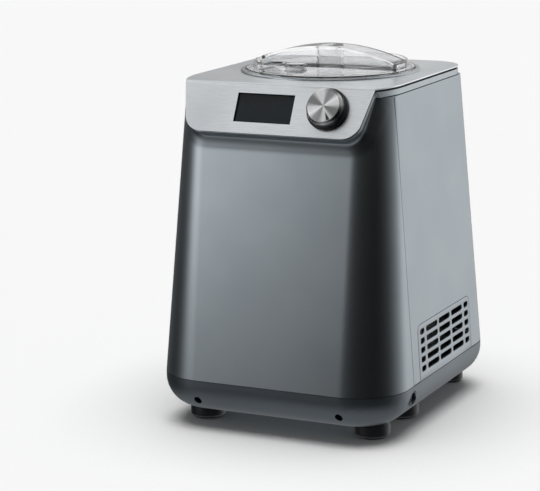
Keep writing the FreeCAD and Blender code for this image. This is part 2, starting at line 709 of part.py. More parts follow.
def make_base():
    wall = num("tray_wall")
    outer = tray_block(0)
    tray = outer.cut(tray_block(wall).fuse(Part.makeBox(300, 300, 20, Vector(-150, -150, num("base_seam")))))
    hole, hole_x, hole_z = num("front_hole"), num("front_hole_x"), num("front_hole_z")
    boss_front, boss_rear = -136, -124
    plug_y, plug_z, plug = -num("side_plug_y"), num("side_plug_z"), num("side_plug")
    forward = Vector(0, 1, 0)
    for side in (-1, 1):
        boss_start = Vector(side * hole_x, boss_front, hole_z)
        boss = Part.makeCylinder(hole + 2, boss_rear - boss_front, boss_start, forward)
        tray = tray.fuse(boss.common(outer))
        well = Part.makeCylinder(hole, 20, Vector(side * hole_x, -146, hole_z), forward)
        screw_hole = Part.makeCylinder(2.1, 20, Vector(side * hole_x, -130, hole_z), forward)
        seat = Part.makeCylinder(plug + 0.1, 12, Vector(side * 115, plug_y, plug_z), Vector(side, 0, 0))
        below_plug = Vector(side * num("recess_x"), plug_y, 0)
        blind = Part.makeCylinder(num("recess"), num("recess_top"), below_plug)
        cup = Part.makeCylinder(num("recess") + 2, num("recess_top") + 2, below_plug)
        tray = tray.fuse(cup.common(outer))
        tray = tray.cut([well, screw_hole, seat, blind])
    boss_low = num("base_bottom") + 1
    for x, y in grommet_places():
        boss = Part.makeCylinder(8, num("grommet_floor") - boss_low, Vector(x, y, boss_low))
        tray = tray.fuse(boss.common(outer))
    for x, y, radius in foot_places():
        tray = tray.cut(Part.makeCylinder(2.1, 20, Vector(x, y, 10)))
    node("base_tray", feature(solid_of(tray)))

    pad = num("pad_height")
    feet, pads, screws = [], [], []
    for x, y, radius in foot_places():
        foot = Part.makeCylinder(radius, 26 - pad, Vector(x, y, pad))
        foot = foot.cut([outer, Part.makeCylinder(2.2, 30, Vector(x, y, 0)),
                         Part.makeCylinder(4.5, 6, Vector(x, y, 0))])
        feet.append(solid_of(foot))
        pads.append(Part.makeCylinder(radius - 3, pad - 0.05, Vector(x, y, 0)))
        head = Part.makeCylinder(4, 2.5, Vector(x, y, 3.4))
        shank = Part.makeCylinder(2, 12.6, Vector(x, y, 5.9))
        screws.append(solid_of(head.fuse(shank)))
    node("feet", feature(Part.makeCompound(feet)))
    node("foot_pads", feature(Part.makeCompound(pads)))
    node("foot_screws", feature(Part.makeCompound(screws)))

    plugs = []
    for side in (-1, 1):
        turn = Rotation(Vector(0, 1, 0), 90 * side)
        cup = turned([("0", "0"), ("side_plug", "0"), ("side_plug", "7.6"), ("side_plug - 1.6", "8"),
                      ("side_plug - 1.6", "3"), ("0", "3")],
                     "%d * 115.6" % side, "-side_plug_y", "side_plug_z", turn)
        plugs.append(cup)
    node("side_plugs", group(*plugs))


def make_cord_gland():
    """Bush that the mains lead passes through, pressed into the rear panel."""
    gland = turned([("3.6", "0"), ("6", "0"), ("6", "8"), ("8.5", "8"), ("8.5", "10.4"), ("3.6", "10.4")],
                   "gland_x", "%.2f" % (rear_face(num("gland_z") - 9) - 7.9), "gland_z", ALONG_Y)
    node("cord_gland", gland)


def make_case_screws():
    """Two screws in the base tray's front and six in the rear panel, all alike."""
    screws = []
    inward, outward = ALONG_Y, Rotation(Vector(1, 0, 0), 90)
    spots = [("%d * front_hole_x" % side, -129.4, "front_hole_z", inward) for side in (-1, 1)]
    spots += [(str(x), rear_face(height) + 1.9, str(height), outward) for x, height in rear_screw_places()]
    for x, y, height, turn in spots:
        head = cylinder("screw_head", "1.4", x, "%.2f" % y, height, turn)
        shank = cylinder("screw_shank", "13", x, "%.2f" % y, height, turn)
        screws.append(fuse(head, shank))
    node("case_screws", group(*screws))


# ---------------------------------------------------------------------------
# Bowl, lid and cooling well, about the bowl's axis
# ---------------------------------------------------------------------------
def make_well():
    well = turned([("9.05", "well_bottom"), ("well_radius", "well_bottom"),
                   ("well_radius", "well_top - well_wall"), ("well_flange", "well_top - well_wall"),
                   ("well_flange", "well_top"), ("well_radius - well_wall", "well_top"),
                   ("well_radius - well_wall", "well_bottom + 1.5"), ("9.05", "well_bottom + 1.5")],
                  y="bowl_axis")
    node("cooling_well", well)
    bush = turned([("shaft_radius + running_fit", "well_bottom - 12"), ("13", "well_bottom - 12"),
                   ("13", "well_bottom - 0.1"), ("9", "well_bottom - 0.1"), ("9", "well_bottom + 3"),
                   ("shaft_radius + running_fit", "well_bottom + 3")], y="bowl_axis")
    node("shaft_bush", bush)
    seal = turned([("shaft_radius + running_fit", "well_bottom + 3.2"), ("8.6", "well_bottom + 3.2"),
                   ("8.6", "well_bottom + 5.6"), ("shaft_radius + running_fit", "well_bottom + 6.8")],
                  y="bowl_axis")
    node("shaft_seal", seal)
    foam = turned([("13.2", "foam_bottom"), ("foam_outer", "foam_bottom"), ("foam_outer", "well_top - 3"),
                   ("foam_inner", "well_top - 3"), ("foam_inner", "well_bottom - 0.1"),
                   ("13.2", "well_bottom - 0.1")], y="bowl_axis")
    line_x = "well_radius + coil_tube + 0.15"
    inlet = cylinder("1.6", "90", line_x, "bowl_axis - 90", "coil_low", ALONG_Y)
    coil_high = "coil_low + coil_turns * coil_pitch"
    outlet = cylinder("coil_tube + 0.8", "90", line_x, "bowl_axis", coil_high, ALONG_Y)
    node("insulation_foam", cut(foam, inlet, outlet))


def make_evaporator():
    """Copper tube wound around the well."""
    tube, pitch, turns = num("coil_tube"), num("coil_pitch"), num("coil_turns")
    radius = num("well_radius") + tube + 0.15
    helix = Part.makeHelix(pitch, pitch * turns, radius)
    start = Vector(radius, 0, 0)
    circle = Part.Wire(Part.makeCircle(tube, start, Vector(0, 2 * math.pi * radius, pitch)))
    coil = Part.Wire(helix.Edges).makePipeShell([circle], True, True)
    coil.translate(Vector(0, num("bowl_axis"), num("coil_low")))
    node("evaporator_coil", feature(coil))


def make_bowl():
    inner = "bowl_radius - bowl_wall"
    floor = "bowl_bottom + 1.5"
    bowl = turned([("bowl_tube - 1.2", "bowl_bottom"), ("bowl_radius - 4", "bowl_bottom"),
                   ("bowl_radius", "bowl_bottom + 4"), ("bowl_radius", "bowl_rim - 1.2"),
                   ("bowl_rim_radius", "bowl_rim - 1.2"), ("bowl_rim_radius", "bowl_rim"),
                   (inner, "bowl_rim"), (inner, "bowl_bottom + 5"), ("bowl_radius - 5", floor),
                   ("bowl_tube", floor), ("bowl_tube", "bowl_tube_top"),
                   ("bowl_tube - 1.2", "bowl_tube_top")], y="bowl_axis")
    ears = []
    for side in (-1, 1):
        ear = cylinder("3.2", "2", "%d * (bowl_radius - bowl_wall) - (1 + %d)" % (side, side),
                       "bowl_axis", "bowl_rim - 10.6", ALONG_X)
        ears.append(ear)
    pins = []
    for side in (-1, 1):
        pin = cylinder("1.2", "3.4", "%d * (bowl_radius - bowl_wall - 3.6) - 1.7" % side,
                       "bowl_axis", "bowl_rim - 10.6", ALONG_X)
        pins.append(pin)
    node("bowl", fuse(bowl, *(ears + pins)))


def make_bowl_handle():
    """Wire bail that lies along the bowl's wall and stands up for lifting."""
    axis_y, height = num("bowl_axis"), num("bowl_rim") - 10.6
    swing = num("bowl_radius") - num("bowl_wall") - 3.6
    wire = 1.3
    eye_outer = 2.6
    path = Part.Wire([Part.makeLine(Vector(swing, 1.8, 0), Vector(swing, 8, 0)),
                      arc_through(Vector(swing, 8, 0), Vector(0, swing, 0), Vector(-swing, 8, 0)),
                      Part.makeLine(Vector(-swing, 8, 0), Vector(-swing, 1.8, 0))])
    circle = Part.Wire(Part.makeCircle(wire, Vector(swing, 1.8, 0), Vector(0, 1, 0)))
    rod = path.makePipeShell([circle], True, False)
    if rod.Volume < 0:
        rod.reverse()
    eyes = []
    for side in (-1, 1):
        eye = Part.makeCylinder(eye_outer, 2, Vector(side * swing - 1, 0, 0), Vector(1, 0, 0))
        eyes.append(eye)
    handle = rod.fuse(eyes)
    bore = Part.makeCylinder(1.25, 200, Vector(-100, 0, 0), Vector(1, 0, 0))
    handle = solid_of(handle.cut(bore))
    handle.translate(Vector(0, axis_y, height))
    node("bowl_handle", feature(handle))


def make_paddle():
    """Mixing paddle: a hub over the bowl's centre tube and two open blades."""
    hub = turned([("bowl_tube + 0.9", "bowl_bottom + 4"), ("bowl_tube + 3.9", "bowl_bottom + 4"),
                  ("bowl_tube + 2", "shaft_top + 5"), ("4", "shaft_top + 9"), ("4", "bowl_rim - 12"),
                  ("0", "bowl_rim - 11"), ("0", "bowl_tube_top + 0.8"),
                  ("bowl_tube + 0.9", "bowl_tube_top + 0.8")], y="bowl_axis")
    socket = block("shaft_square + 0.4", "shaft_square + 0.4", "shaft_top - bowl_tube_top + 0.6",
                   "-(shaft_square + 0.4) / 2", "bowl_axis - (shaft_square + 0.4) / 2", "bowl_tube_top")
    blades = []
    for side in (-1, 1):
        tip, root = "%d * (bowl_radius - 3)" % side, "%d * 13" % side
        blade = padded([(root, "bowl_bottom + 7"), (tip, "bowl_bottom + 7"), (tip, "bowl_bottom + 118"),
                        ("%d * (bowl_radius - 15)" % side, "bowl_bottom + 118"),
                        ("%d * (bowl_radius - 19)" % side, "bowl_bottom + 22"), (root, "bowl_bottom + 22")],
                       "3", y="bowl_axis + 1.5", role="XZ_Plane")
        strut = padded([("%d * 2" % side, "bowl_bottom + 96"),
                        ("%d * (bowl_radius - 15)" % side, "bowl_bottom + 106"),
                        ("%d * (bowl_radius - 15)" % side, "bowl_bottom + 117"),
                        ("%d * 2" % side, "bowl_bottom + 107")],
                       "3", y="bowl_axis + 1.5", role="XZ_Plane")
        blades += [blade, strut]
    node("mixing_paddle", cut(fuse(hub, *blades), socket))


def make_trim_ring():
    ring = turned([("ring_inner", "well_top + 0.2"), ("ring_seat + 0.8", "well_top + 0.2"),
                   ("ring_seat + 0.8", "plate_height + 0.1"), ("ring_outer", "plate_height + 0.1"),
                   ("ring_outer", "ring_top - 1"), ("ring_outer - 1.4", "ring_top"),
                   ("ring_seat", "ring_top"), ("ring_seat", "well_top + 1.9"),
                   ("ring_inner", "well_top + 1.9")], y="bowl_axis")
    node("trim_ring", ring)


def make_lid():
    seal = turned([("ring_inner + 0.4", "well_top + 2.1"), ("lid_flange", "well_top + 2.1"),
                   ("lid_flange", "lid_bottom - 0.2"), ("ring_inner + 0.4", "lid_bottom - 0.2")],
                  y="bowl_axis")
    node("lid_seal", seal)
    skirt_inner = "lid_skirt - 1.6"
    shell = turned([(skirt_inner, "lid_bottom - lid_skirt_drop"), ("lid_skirt", "lid_bottom - lid_skirt_drop"),
                    ("lid_skirt", "lid_bottom"), ("lid_flange", "lid_bottom"),
                    ("lid_flange", "lid_floor - 0.8"), ("lid_flange - 0.8", "lid_floor"),
                    ("lid_wall", "lid_floor"), ("lid_wall", "lid_wall_top"),
                    ("lid_wall - lid_skin", "lid_wall_top"), ("lid_wall - lid_skin", "lid_floor"),
                    ("0", "lid_floor"), ("0", "lid_floor - lid_skin"),
                    (skirt_inner, "lid_floor - lid_skin")], y="bowl_axis")
    hub_outer = cylinder("hub_tube", "bridge_top - lid_floor + 0.8", "0", "bowl_axis", "lid_floor - lid_skin")
    hub_inner = cylinder("hub_tube - 1.6", "bridge_top - lid_floor", "0", "bowl_axis",
                         "lid_floor - 2 * lid_skin")
    hub = cut(hub_outer, hub_inner)
    reach = num("lid_wall") - 1.6
    rim, top = num("lid_wall_top"), num("bridge_top")
    skin = num("lid_skin")
    half = num("bridge_half")
    axis_y = num("bowl_axis")

    def arch(drop, inset, y, width):
        """Solid under the arch from the lid's floor up, narrowed by inset."""
        ends = reach - inset
        crown = top - drop
        foot = rim - drop
        floor = num("lid_floor") - (skin + 0.1 if inset else 0.5)
        left, right = Vector(-ends, y, foot), Vector(ends, y, foot)
        edges = [arc_through(left, Vector(0, y, crown), right),
                 Part.makeLine(right, Vector(ends, y, floor)),
                 Part.makeLine(Vector(ends, y, floor), Vector(-ends, y, floor)),
                 Part.makeLine(Vector(-ends, y, floor), left)]
        return prism(Part.Wire(edges), Vector(0, width, 0))

    bridge = feature(arch(0, 0, axis_y - half, 2 * half))
    hollow = feature(arch(skin, skin + 2.2, axis_y - half + skin, 2 * (half - skin)))
    filler = cut(cylinder("cap_radius - 1", "1.6", "cap_x", "cap_y", "lid_floor - 0.1"),
                 cylinder("cap_radius - 2.6", "4", "cap_x", "cap_y", "lid_floor - 1"))
    hole = cylinder("cap_radius - 2.6", "6", "cap_x", "cap_y", "lid_floor - 4")
    node("lid", cut(fuse(cut(fuse(shell, bridge), hollow), hub, filler), hole))
    cap = turned([("0", "lid_floor + cap_rise"), ("0", "lid_floor + 2"), ("cap_radius - 4.2", "lid_floor + 2"),
                  ("cap_radius - 4.2", "lid_floor - lid_skin"), ("cap_radius - 2.9", "lid_floor - lid_skin"),
                  ("cap_radius - 2.9", "lid_floor + 1.8"), ("cap_radius", "lid_floor + 1.8"),
                  ("cap_radius", "lid_floor + 2.8"), ("cap_radius * 0.75", "lid_floor + cap_rise - 0.8")],
                 "cap_x", "cap_y")
    node("refill_cap", cap)


# ---------------------------------------------------------------------------
# Drive: motor, two gear stages and the shaft
# ---------------------------------------------------------------------------
def gear_places():
    """Axes of the output gear, the idler and the motor, seen from above."""
    module = num("gear_module")
    slow = module * (num("output_teeth") + num("small_teeth")) / 2
    fast = module * (num("idler_teeth") + num("small_teeth")) / 2
    output = Vector(0, num("bowl_axis"), 0)
    to_idler, to_motor = math.radians(-60), math.radians(-20)
    idler = output + Vector(math.cos(to_idler), math.sin(to_idler), 0) * slow
    motor = idler + Vector(math.cos(to_motor), math.sin(to_motor), 0) * fast
    return output, idler, motor, math.degrees(to_idler), math.degrees(to_motor)


def gear_blank(teeth, low, height, axis, bore, phase):
    """Spur gear with straight-sided teeth; a tooth stands at the phase angle."""
    module = num("gear_module")
    pitch_radius = module * teeth / 2
    tip, root = pitch_radius + 0.85 * module, pitch_radius - 1.15 * module
    step = 360 / teeth
    half_pitch = step / 4 - math.degrees(0.12 / pitch_radius)
    lean = math.degrees(module * math.tan(math.radians(20)) / pitch_radius)
    widths = [(root, half_pitch + 1.15 * lean), (tip, max(half_pitch - 0.85 * lean, step * 0.08))]
    points = []
    for tooth in range(int(teeth)):
        middle = phase + tooth * step
        for radius, half in ((widths[0]), (widths[1])):
            angle = math.radians(middle - half)
            points.append(Vector(axis.x + radius * math.cos(angle), axis.y + radius * math.sin(angle), low))
        for radius, half in ((widths[1]), (widths[0])):
            angle = math.radians(middle + half)
            points.append(Vector(axis.x + radius * math.cos(angle), axis.y + radius * math.sin(angle), low))
    gear = prism(Part.makePolygon(points + points[:1]), Vector(0, 0, height))
    if bore:
        gear = gear.cut(Part.makeCylinder(bore, height + 2, Vector(axis.x, axis.y, low - 1)))
    return gear


def make_drive():
    output, idler, motor, to_idler, to_motor = gear_places()
    bottom, top = num("gearbox_bottom"), num("gearbox_top")
    wheel, pinion, big = num("idler_teeth"), num("small_teeth"), num("output_teeth")
    fit = num("running_fit")
    slow_low, fast_low = bottom + 15, bottom + 4.5

    shaft_radius = num("shaft_radius")
    square = num("shaft_square")
    shaft_low, key_length = bottom + 3.5, 16
    shaft = Part.makeCylinder(shaft_radius, num("bowl_tube_top") - shaft_low,
                              Vector(output.x, output.y, shaft_low))
    key = Part.makeBox(square, square, key_length, Vector(output.x - square / 2, output.y - square / 2,
                                                          num("shaft_top") - key_length))
    node("drive_shaft", feature(solid_of(shaft.fuse(key))))
    gear = gear_blank(big, slow_low, 8, output, shaft_radius + 0.02, to_idler)
    node("output_gear", feature(gear))

    facing = to_idler + 180
    small = gear_blank(pinion, slow_low - 1, 10, idler, 0, facing + 180 / pinion)
    large = gear_blank(wheel, fast_low, 6, idler, 0, to_motor)
    body = Part.makeCylinder(5, slow_low + 9 - fast_low, Vector(idler.x, idler.y, fast_low))
    bore = Part.makeCylinder(2.5 + fit, 60, Vector(idler.x, idler.y, fast_low - 5))
    both = small.fuse([large, body]).cut(bore)
    node("idler_gear", feature(solid_of(both)))
    pin = Part.makeCylinder(2.5, top - bottom - 5, Vector(idler.x, idler.y, bottom + 1))
    small = gear_blank(pinion, fast_low - 1, 8, motor, 2.52, to_motor + 180 + 180 / pinion)
    node("motor_pinion", feature(small))

    module = num("gear_module")
    radii = [(output, module * big / 2 + 5), (idler, module * wheel / 2 + 5), (motor, 12)]

    def lobes(shrink, low, high):
        rounds = [Part.makeCylinder(radius - shrink, high - low, Vector(axis.x, axis.y, low))
                  for axis, radius in radii]
        return rounds[0].fuse(rounds[1:])

    cup = lobes(0, bottom, top - 3).cut(lobes(2.5, bottom + 3, top))
    bore = Part.makeCylinder(4, 10, Vector(motor.x, motor.y, bottom - 3))
    node("gearbox_housing", feature(solid_of(cup.cut(bore).fuse(pin))))
    shaft_hole = Part.makeCylinder(shaft_radius + 0.3, 10, Vector(output.x, output.y, top - 5))
    cover = lobes(0, top - 2.9, top).cut(shaft_hole)
    node("gearbox_cover", feature(solid_of(cover)))

    radius, low = num("motor_radius"), num("motor_bottom")
    high = bottom - 0.1
    can = Part.makeCylinder(radius, high - low, Vector(motor.x, motor.y, low))
    can = can.cut([Part.makeCylinder(radius - 1.5, high - low - 3, Vector(motor.x, motor.y, low + 1.5)),
                   Part.makeCylinder(2.5 + fit, 100, Vector(motor.x, motor.y, low + 1.4))])
    ring = Part.makeCylinder(radius - 1, 34, Vector(motor.x, motor.y, low + 14))
    stator = ring.cut(Part.makeCylinder(17.5, 40, Vector(motor.x, motor.y, low + 10)))
    node("motor_can", feature(solid_of(can.fuse(stator))))
    axle = Part.makeCylinder(2.5, bottom + 14 - low - 3, Vector(motor.x, motor.y, low + 3))
    core = Part.makeCylinder(17, 32, Vector(motor.x, motor.y, low + 15))
    node("motor_rotor", feature(solid_of(axle.fuse(core))))


# ---------------------------------------------------------------------------
# Refrigeration
# ---------------------------------------------------------------------------
def make_compressor():
    x, y = "compressor_x", "compressor_y"
    middle = "(compressor_bottom + compressor_top) / 2"
    shell = turned([("0", "compressor_bottom"), ("compressor_radius - 14", "compressor_bottom + 2"),
                    ("compressor_radius - 3", "compressor_bottom + 14"), ("compressor_radius - 1.5", middle),
                    ("compressor_radius", middle), ("compressor_radius", middle + " + 4"),
                    ("compressor_radius - 1.5", middle + " + 4"),
                    ("compressor_radius - 1.5", "compressor_top - 18"),
                    ("compressor_radius - 5", "compressor_top - 8"),
                    ("compressor_radius - 15", "compressor_top - 2.4"), ("0", "compressor_top")], x, y)
    node("compressor", shell)
    cover = block("26", "26", "44", "compressor_x + compressor_radius - 1", "compressor_y - 13",
                  "compressor_bottom + 22")
    inner = block("24", "22", "40", "compressor_x + compressor_radius - 2", "compressor_y - 11",
                  "compressor_bottom + 24")
    clear = cylinder("compressor_radius + 0.2", "100", x, y, "compressor_bottom")
    node("terminal_cover", cut(cover, fuse(inner, clear)))
    plate_low = "compressor_bottom - 4"
    side = "2 * (grommet_reach + 7)"
    plate = block(side, side, "2.5", "compressor_x - grommet_reach - 7", "compressor_y - grommet_reach - 7",
                  plate_low)
    holes, grommets, bolts = [], [], []
    for step_x in ("+", "-"):
        for step_y in ("+", "-"):
            hole_x, hole_y = "%s %s grommet_reach" % (x, step_x), "%s %s grommet_reach" % (y, step_y)
            holes.append(cylinder("3.6", "10", hole_x, hole_y, "compressor_bottom - 8"))
            floor, under_plate = "grommet_floor + 0.1", plate_low + " - 0.1"
            grommets.append(turned([("2.3", floor), ("6.5", floor), ("6.5", under_plate), ("2.3", under_plate)],
                                   hole_x, hole_y))
            bolt = fuse(cylinder("2", "13", hole_x, hole_y, plate_low + " - 8"),
                        cylinder("4.5", "3", hole_x, hole_y, plate_low + " + 2.6"))
            bolts.append(bolt)
    node("compressor_base", cut(plate, *holes))
    node("compressor_grommets", group(*grommets))
    node("compressor_bolts", group(*bolts))


def condenser_runs():
    rows = 4
    return [num("condenser_low") + num("condenser_pitch") * row for row in range(rows)]


def make_condenser():
    x, radius = num("condenser_x"), num("condenser_tube")
    front, rear = -num("condenser_front"), num("condenser_rear")
    bend = num("condenser_pitch") / 2
    runs = condenser_runs()
    edges = []
    for index, height in enumerate(runs):
        ends = (front, rear) if index % 2 == 0 else (rear, front)
        edges.append(Part.makeLine(Vector(x, ends[0], height), Vector(x, ends[1], height)))
        if index + 1 < len(runs):
            out = bend if index % 2 == 0 else -bend
            edges.append(arc_through(Vector(x, ends[1], height), Vector(x, ends[1] + out, height + bend),
                                     Vector(x, ends[1], height + 2 * bend)))
    drier_y, turn = num("drier_y"), 8
    diagonal = turn * (1 - math.sqrt(0.5))
    edges.append(Part.makeLine(Vector(x, front, runs[-1]), Vector(x, drier_y + turn, runs[-1])))
    edges.append(arc_through(Vector(x, drier_y + turn, runs[-1]),
                             Vector(x, drier_y + diagonal, runs[-1] - diagonal),
                             Vector(x, drier_y, runs[-1] - turn)))
    edges.append(Part.makeLine(Vector(x, drier_y, runs[-1] - turn), Vector(x, drier_y, num("drier_top") + 0.2)))
    path = Part.Wire(edges)
    circle = Part.Wire(Part.makeCircle(radius, Vector(x, front, runs[0]), Vector(0, 1, 0)))
    tube = path.makePipeShell([circle], True, False)
    if tube.Volume < 0:
        tube.reverse()
    node("condenser_tube", feature(tube))
    fins = []
    half = num("condenser_half")
    pitch, thickness = 6, 0.6
    holes = [Part.makeCylinder(radius + 0.1, rear - front + 20, Vector(x, front - 10, height), Vector(0, 1, 0))
             for height in runs]
    count = int((rear - front - 8) // pitch)
    for index in range(count + 1):
        fin = Part.makeBox(2 * half, thickness, runs[-1] - runs[0] + 18,
                           Vector(x - half, front + 4 + index * pitch, runs[0] - 9))
        fins.append(fin.cut(holes))
    node("condenser_fins", feature(Part.makeCompound(fins)))


def make_fan():
    size, thickness = num("fan_size"), num("fan_thickness")
    centre = Vector(num("fan_x"), num("fan_y"), num("fan_z"))
    along = Vector(1, 0, 0)
    frame = Part.makeBox(thickness, size, size, centre - Vector(0, size / 2, size / 2))
    frame = frame.cut(Part.makeCylinder(size / 2 - 2, thickness + 2, centre - along, along))
    spokes = [Part.makeBox(2, size - 2, 4, centre - Vector(0, size / 2 - 1, 2)),
              Part.makeBox(2, 4, size - 2, centre - Vector(0, 2, size / 2 - 1)),
              Part.makeCylinder(15, 2, centre, along),
              Part.makeCylinder(2, 16, centre, along)]
    node("fan_frame", feature(solid_of(frame.fuse(spokes))))
    hub = Part.makeCylinder(16, 18, centre + along * 4, along).cut(
        Part.makeCylinder(13.5, 14, centre + along * 2, along))
    boss = Part.makeCylinder(5, 17, centre + along * 4, along)
    rotor = hub.fuse(boss)
    blades = 7
    for index in range(blades):
        blade = Part.makeBox(1.6, 20, 28, Vector(-0.8, -10, 14))
        blade.rotate(Vector(0, 0, 0), Vector(0, 0, 1), 50)
        blade.translate(Vector(13, 0, 0))
        blade.rotate(Vector(0, 0, 0), along, 360 / blades * index)
        blade.translate(centre)
        rotor = rotor.fuse(blade)
    limit = Part.makeCylinder(size / 2 - 4, 19, centre + along * 3.5, along)
    bore = Part.makeCylinder(2 + num("running_fit"), 15, centre + along * 2, along)
    node("fan_rotor", feature(solid_of(rotor.common(limit).cut(bore))))


def make_refrigerant_lines():
    """Discharge, liquid, capillary and suction lines and the drier between them."""
    bend = 6
    radius = num("compressor_radius")
    pump_x, pump_y = num("compressor_x"), num("compressor_y")
    condenser_x, front = num("condenser_x"), -num("condenser_front")
    runs = condenser_runs()
    coil_x = num("well_radius") + num("coil_tube") + 0.15
    coil_y, coil_low = num("bowl_axis"), num("coil_low")
    coil_high = coil_low + num("coil_turns") * num("coil_pitch")
    drier_y, drier_low = num("drier_y"), num("drier_low")

    side = 22
    outlet_x = pump_x + math.sqrt(radius ** 2 - (side - 3) ** 2) + 0.3
    low_z, across_x, ahead = 45, 20, front - 16
    route = [(outlet_x, pump_y - side, low_z + 8), (across_x, pump_y - side, low_z + 8),
             (across_x, 30, low_z), (across_x, ahead, low_z), (condenser_x, ahead, runs[0]),
             (condenser_x, front - 0.2, runs[0])]
    node("discharge_line", feature(pipe(route, 2.5, bend)))
    drier = turned([("0", "0"), ("3", "0"), ("8", "7"), ("8", "45"), ("3", "52"), ("0", "52")],
                   "condenser_x", "drier_y", "drier_low")
    node("filter_drier", drier)
    rise_y = drier_y - 18
    route = [(condenser_x, drier_y, drier_low - 0.2), (condenser_x, drier_y, 36), (condenser_x, rise_y, 36),
             (condenser_x, rise_y, coil_low), (coil_x, -60, coil_low), (coil_x, coil_y - 0.3, coil_low)]
    node("capillary_tube", feature(pipe(route, 1.2, bend)))
    down_y, back_z = pump_y - 2, num("compressor_top") - 10
    route = [(coil_x, coil_y + 0.3, coil_high), (coil_x, down_y, coil_high), (coil_x, down_y, back_z),
             (pump_x + radius - 3, down_y, back_z)]
    node("suction_line", feature(pipe(route, num("coil_tube"), 10)))


def make_deck():
    """Steel deck that carries the well, welded to three posts from the tray."""
    radius, thickness, post = 96, 2, 5
    low = num("foam_bottom") - thickness - 0.1
    centre = Vector(0, num("bowl_axis"), low)
    deck = Part.makeCylinder(radius, thickness, centre).cut(
        Part.makeCylinder(13.4, 10, centre - Vector(0, 0, 4)))
    floor = num("base_bottom") + num("tray_wall") + 0.1
    posts = []
    reach = radius - 7
    for angle in (math.radians(-75), math.radians(-150), math.radians(96)):
        spot = Vector(reach * math.cos(angle), num("bowl_axis") + reach * math.sin(angle), floor)
        posts.append(Part.makeCylinder(post, low - floor + 1, spot))
    node("deck", feature(solid_of(deck.fuse(posts))))


# ---------------------------------------------------------------------------
# Controls on the fascia and the power board
# ---------------------------------------------------------------------------
def make_display():
    width, height = "display_left + display_right", "display_bottom - display_top"
    behind = "-gasket_depth - frame_web - 0.2"
    pane = block(width + " - 0.6", height + " - 0.6", "gasket_depth + frame_web - display_recess + 0.2",
                 *fascia_point("-display_left + 0.3", "display_bottom - 0.3", behind), turn=ON_FASCIA)
    flange = block(width + " + 6", height + " + 6", "1",
                   *fascia_point("-display_left - 3", "display_bottom + 3", "-gasket_depth - frame_web - 1.1"),
                   turn=ON_FASCIA)
    node("display_window", fuse(pane, flange))
    module = block(width + " + 6", height + " + 6", "5",
                   *fascia_point("-display_left - 3", "display_bottom + 3", "-gasket_depth - frame_web - 6.3"),
                   turn=ON_FASCIA)
    node("display_module", module)
    board = block("148", "36", "1.6", *fascia_point("-72", "42", "-15.6"), turn=ON_FASCIA)
    node("control_board", board)


def make_knob():
    on_axis = ("knob_x", "knob_drop")
    housing = block("14", "14", "6.6", *fascia_point("knob_x - 7", "knob_drop + 7", "-13.9"), turn=ON_FASCIA)
    bush = cylinder("4.5", "8.4", *fascia_point(*on_axis, "-7.8"), turn=ON_FASCIA)
    cavity = cylinder("4.3", "4.6", *fascia_point(*on_axis, "-13.1"), turn=ON_FASCIA)
    bore = cylinder("3 + running_fit", "20", *fascia_point(*on_axis, "-9"), turn=ON_FASCIA)
    node("encoder", cut(fuse(housing, bush), cavity, bore))
    node("encoder_plunger", cylinder("4.2", "1.6", *fascia_point(*on_axis, "-11.4"), turn=ON_FASCIA))
    node("encoder_shaft", cylinder("3", "18.5", *fascia_point(*on_axis, "-9.7"), turn=ON_FASCIA))
    skirt = turned([("5.2", "knob_clearance"), ("skirt_radius", "knob_clearance"),
                    ("skirt_radius", "skirt_height - 1"), ("skirt_radius - 1.2", "skirt_height"),
                    ("5.2", "skirt_height")], *fascia_point(*on_axis, "0"), turn=ON_FASCIA)
    node("knob_skirt", skirt)
    cap = turned([("3.02", "skirt_height + 0.05"), ("knob_radius", "skirt_height + 0.05"),
                  ("knob_radius", "knob_height - 2"), ("knob_face", "knob_height"), ("0", "knob_height"),
                  ("0", "knob_height - 3"), ("3.02", "knob_height - 3")], *fascia_point(*on_axis, "0"),
                 turn=ON_FASCIA)
    node("knob_cap", cap)


def make_power_board():
    board = block("1.6", "76", "80", "-108", "-86", "60")
    transformer = block("24", "34", "30", "-106.5", "-66", "84")
    relay = block("15", "14", "20", "-106.5", "-28", "92")
    capacitors = [cylinder("6", "20", "-106.5", str(y), "72", ALONG_X) for y in (-74, -58, -42)]
    node("power_board", fuse(board, transformer, relay, *capacitors))
    route = [(-60, -102, 300.8), (-60, -90, 294.6), (-60, -90, 165), (-103, -58, 165), (-103, -58, 141)]
    node("control_cable", feature(pipe(route, 2, 8)))


# ---------------------------------------------------------------------------
# Build, check and write
# ---------------------------------------------------------------------------
def build():
    make_base()
    walls = make_housing()
    make_side_grilles(walls)
    make_cord_gland()
    make_case_screws()
    make_top_frame()
    plate = make_top_plate()
    make_plate_gasket(plate)
    make_trim_ring()
    make_well()
    make_evaporator()
    make_bowl()
    make_bowl_handle()
    make_paddle()
    make_lid()
    make_drive()
    make_compressor()
    make_condenser()
    make_fan()
    make_refrigerant_lines()
    make_deck()
    make_display()
    make_knob()
    make_power_board()
    document.recompute()


def check():
    for thing in document.Objects:
        if "Invalid" in thing.State or "Error" in thing.State:
            raise ValueError("%s (%s) is %s" % (thing.Name, thing.Label, thing.State))
    for thing in NODES:
        if thing.Shape.isNull() or not thing.Shape.isValid() or not thing.Shape.Solids:
            raise ValueError("%s has no valid solid" % thing.Label)


def write():
    os.makedirs("parts", exist_ok=True)
    for thing in NODES:
        thing.Shape.exportStep("parts/%s.step" % thing.Label)


build()
check()
write()
for thing in NODES:
    box = thing.Shape.optimalBoundingBox(False)
    print("%-22s %2d %9.0f  x %7.1f %7.1f  y %7.1f %7.1f  z %7.1f %7.1f"
          % (thing.Label, len(thing.Shape.Solids), thing.Shape.Volume,
             box.XMin, box.XMax, box.YMin, box.YMax, box.ZMin, box.ZMax))
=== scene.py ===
import json
import math

import bmesh
import bpy
import numpy as np
from mathutils import Matrix, Vector


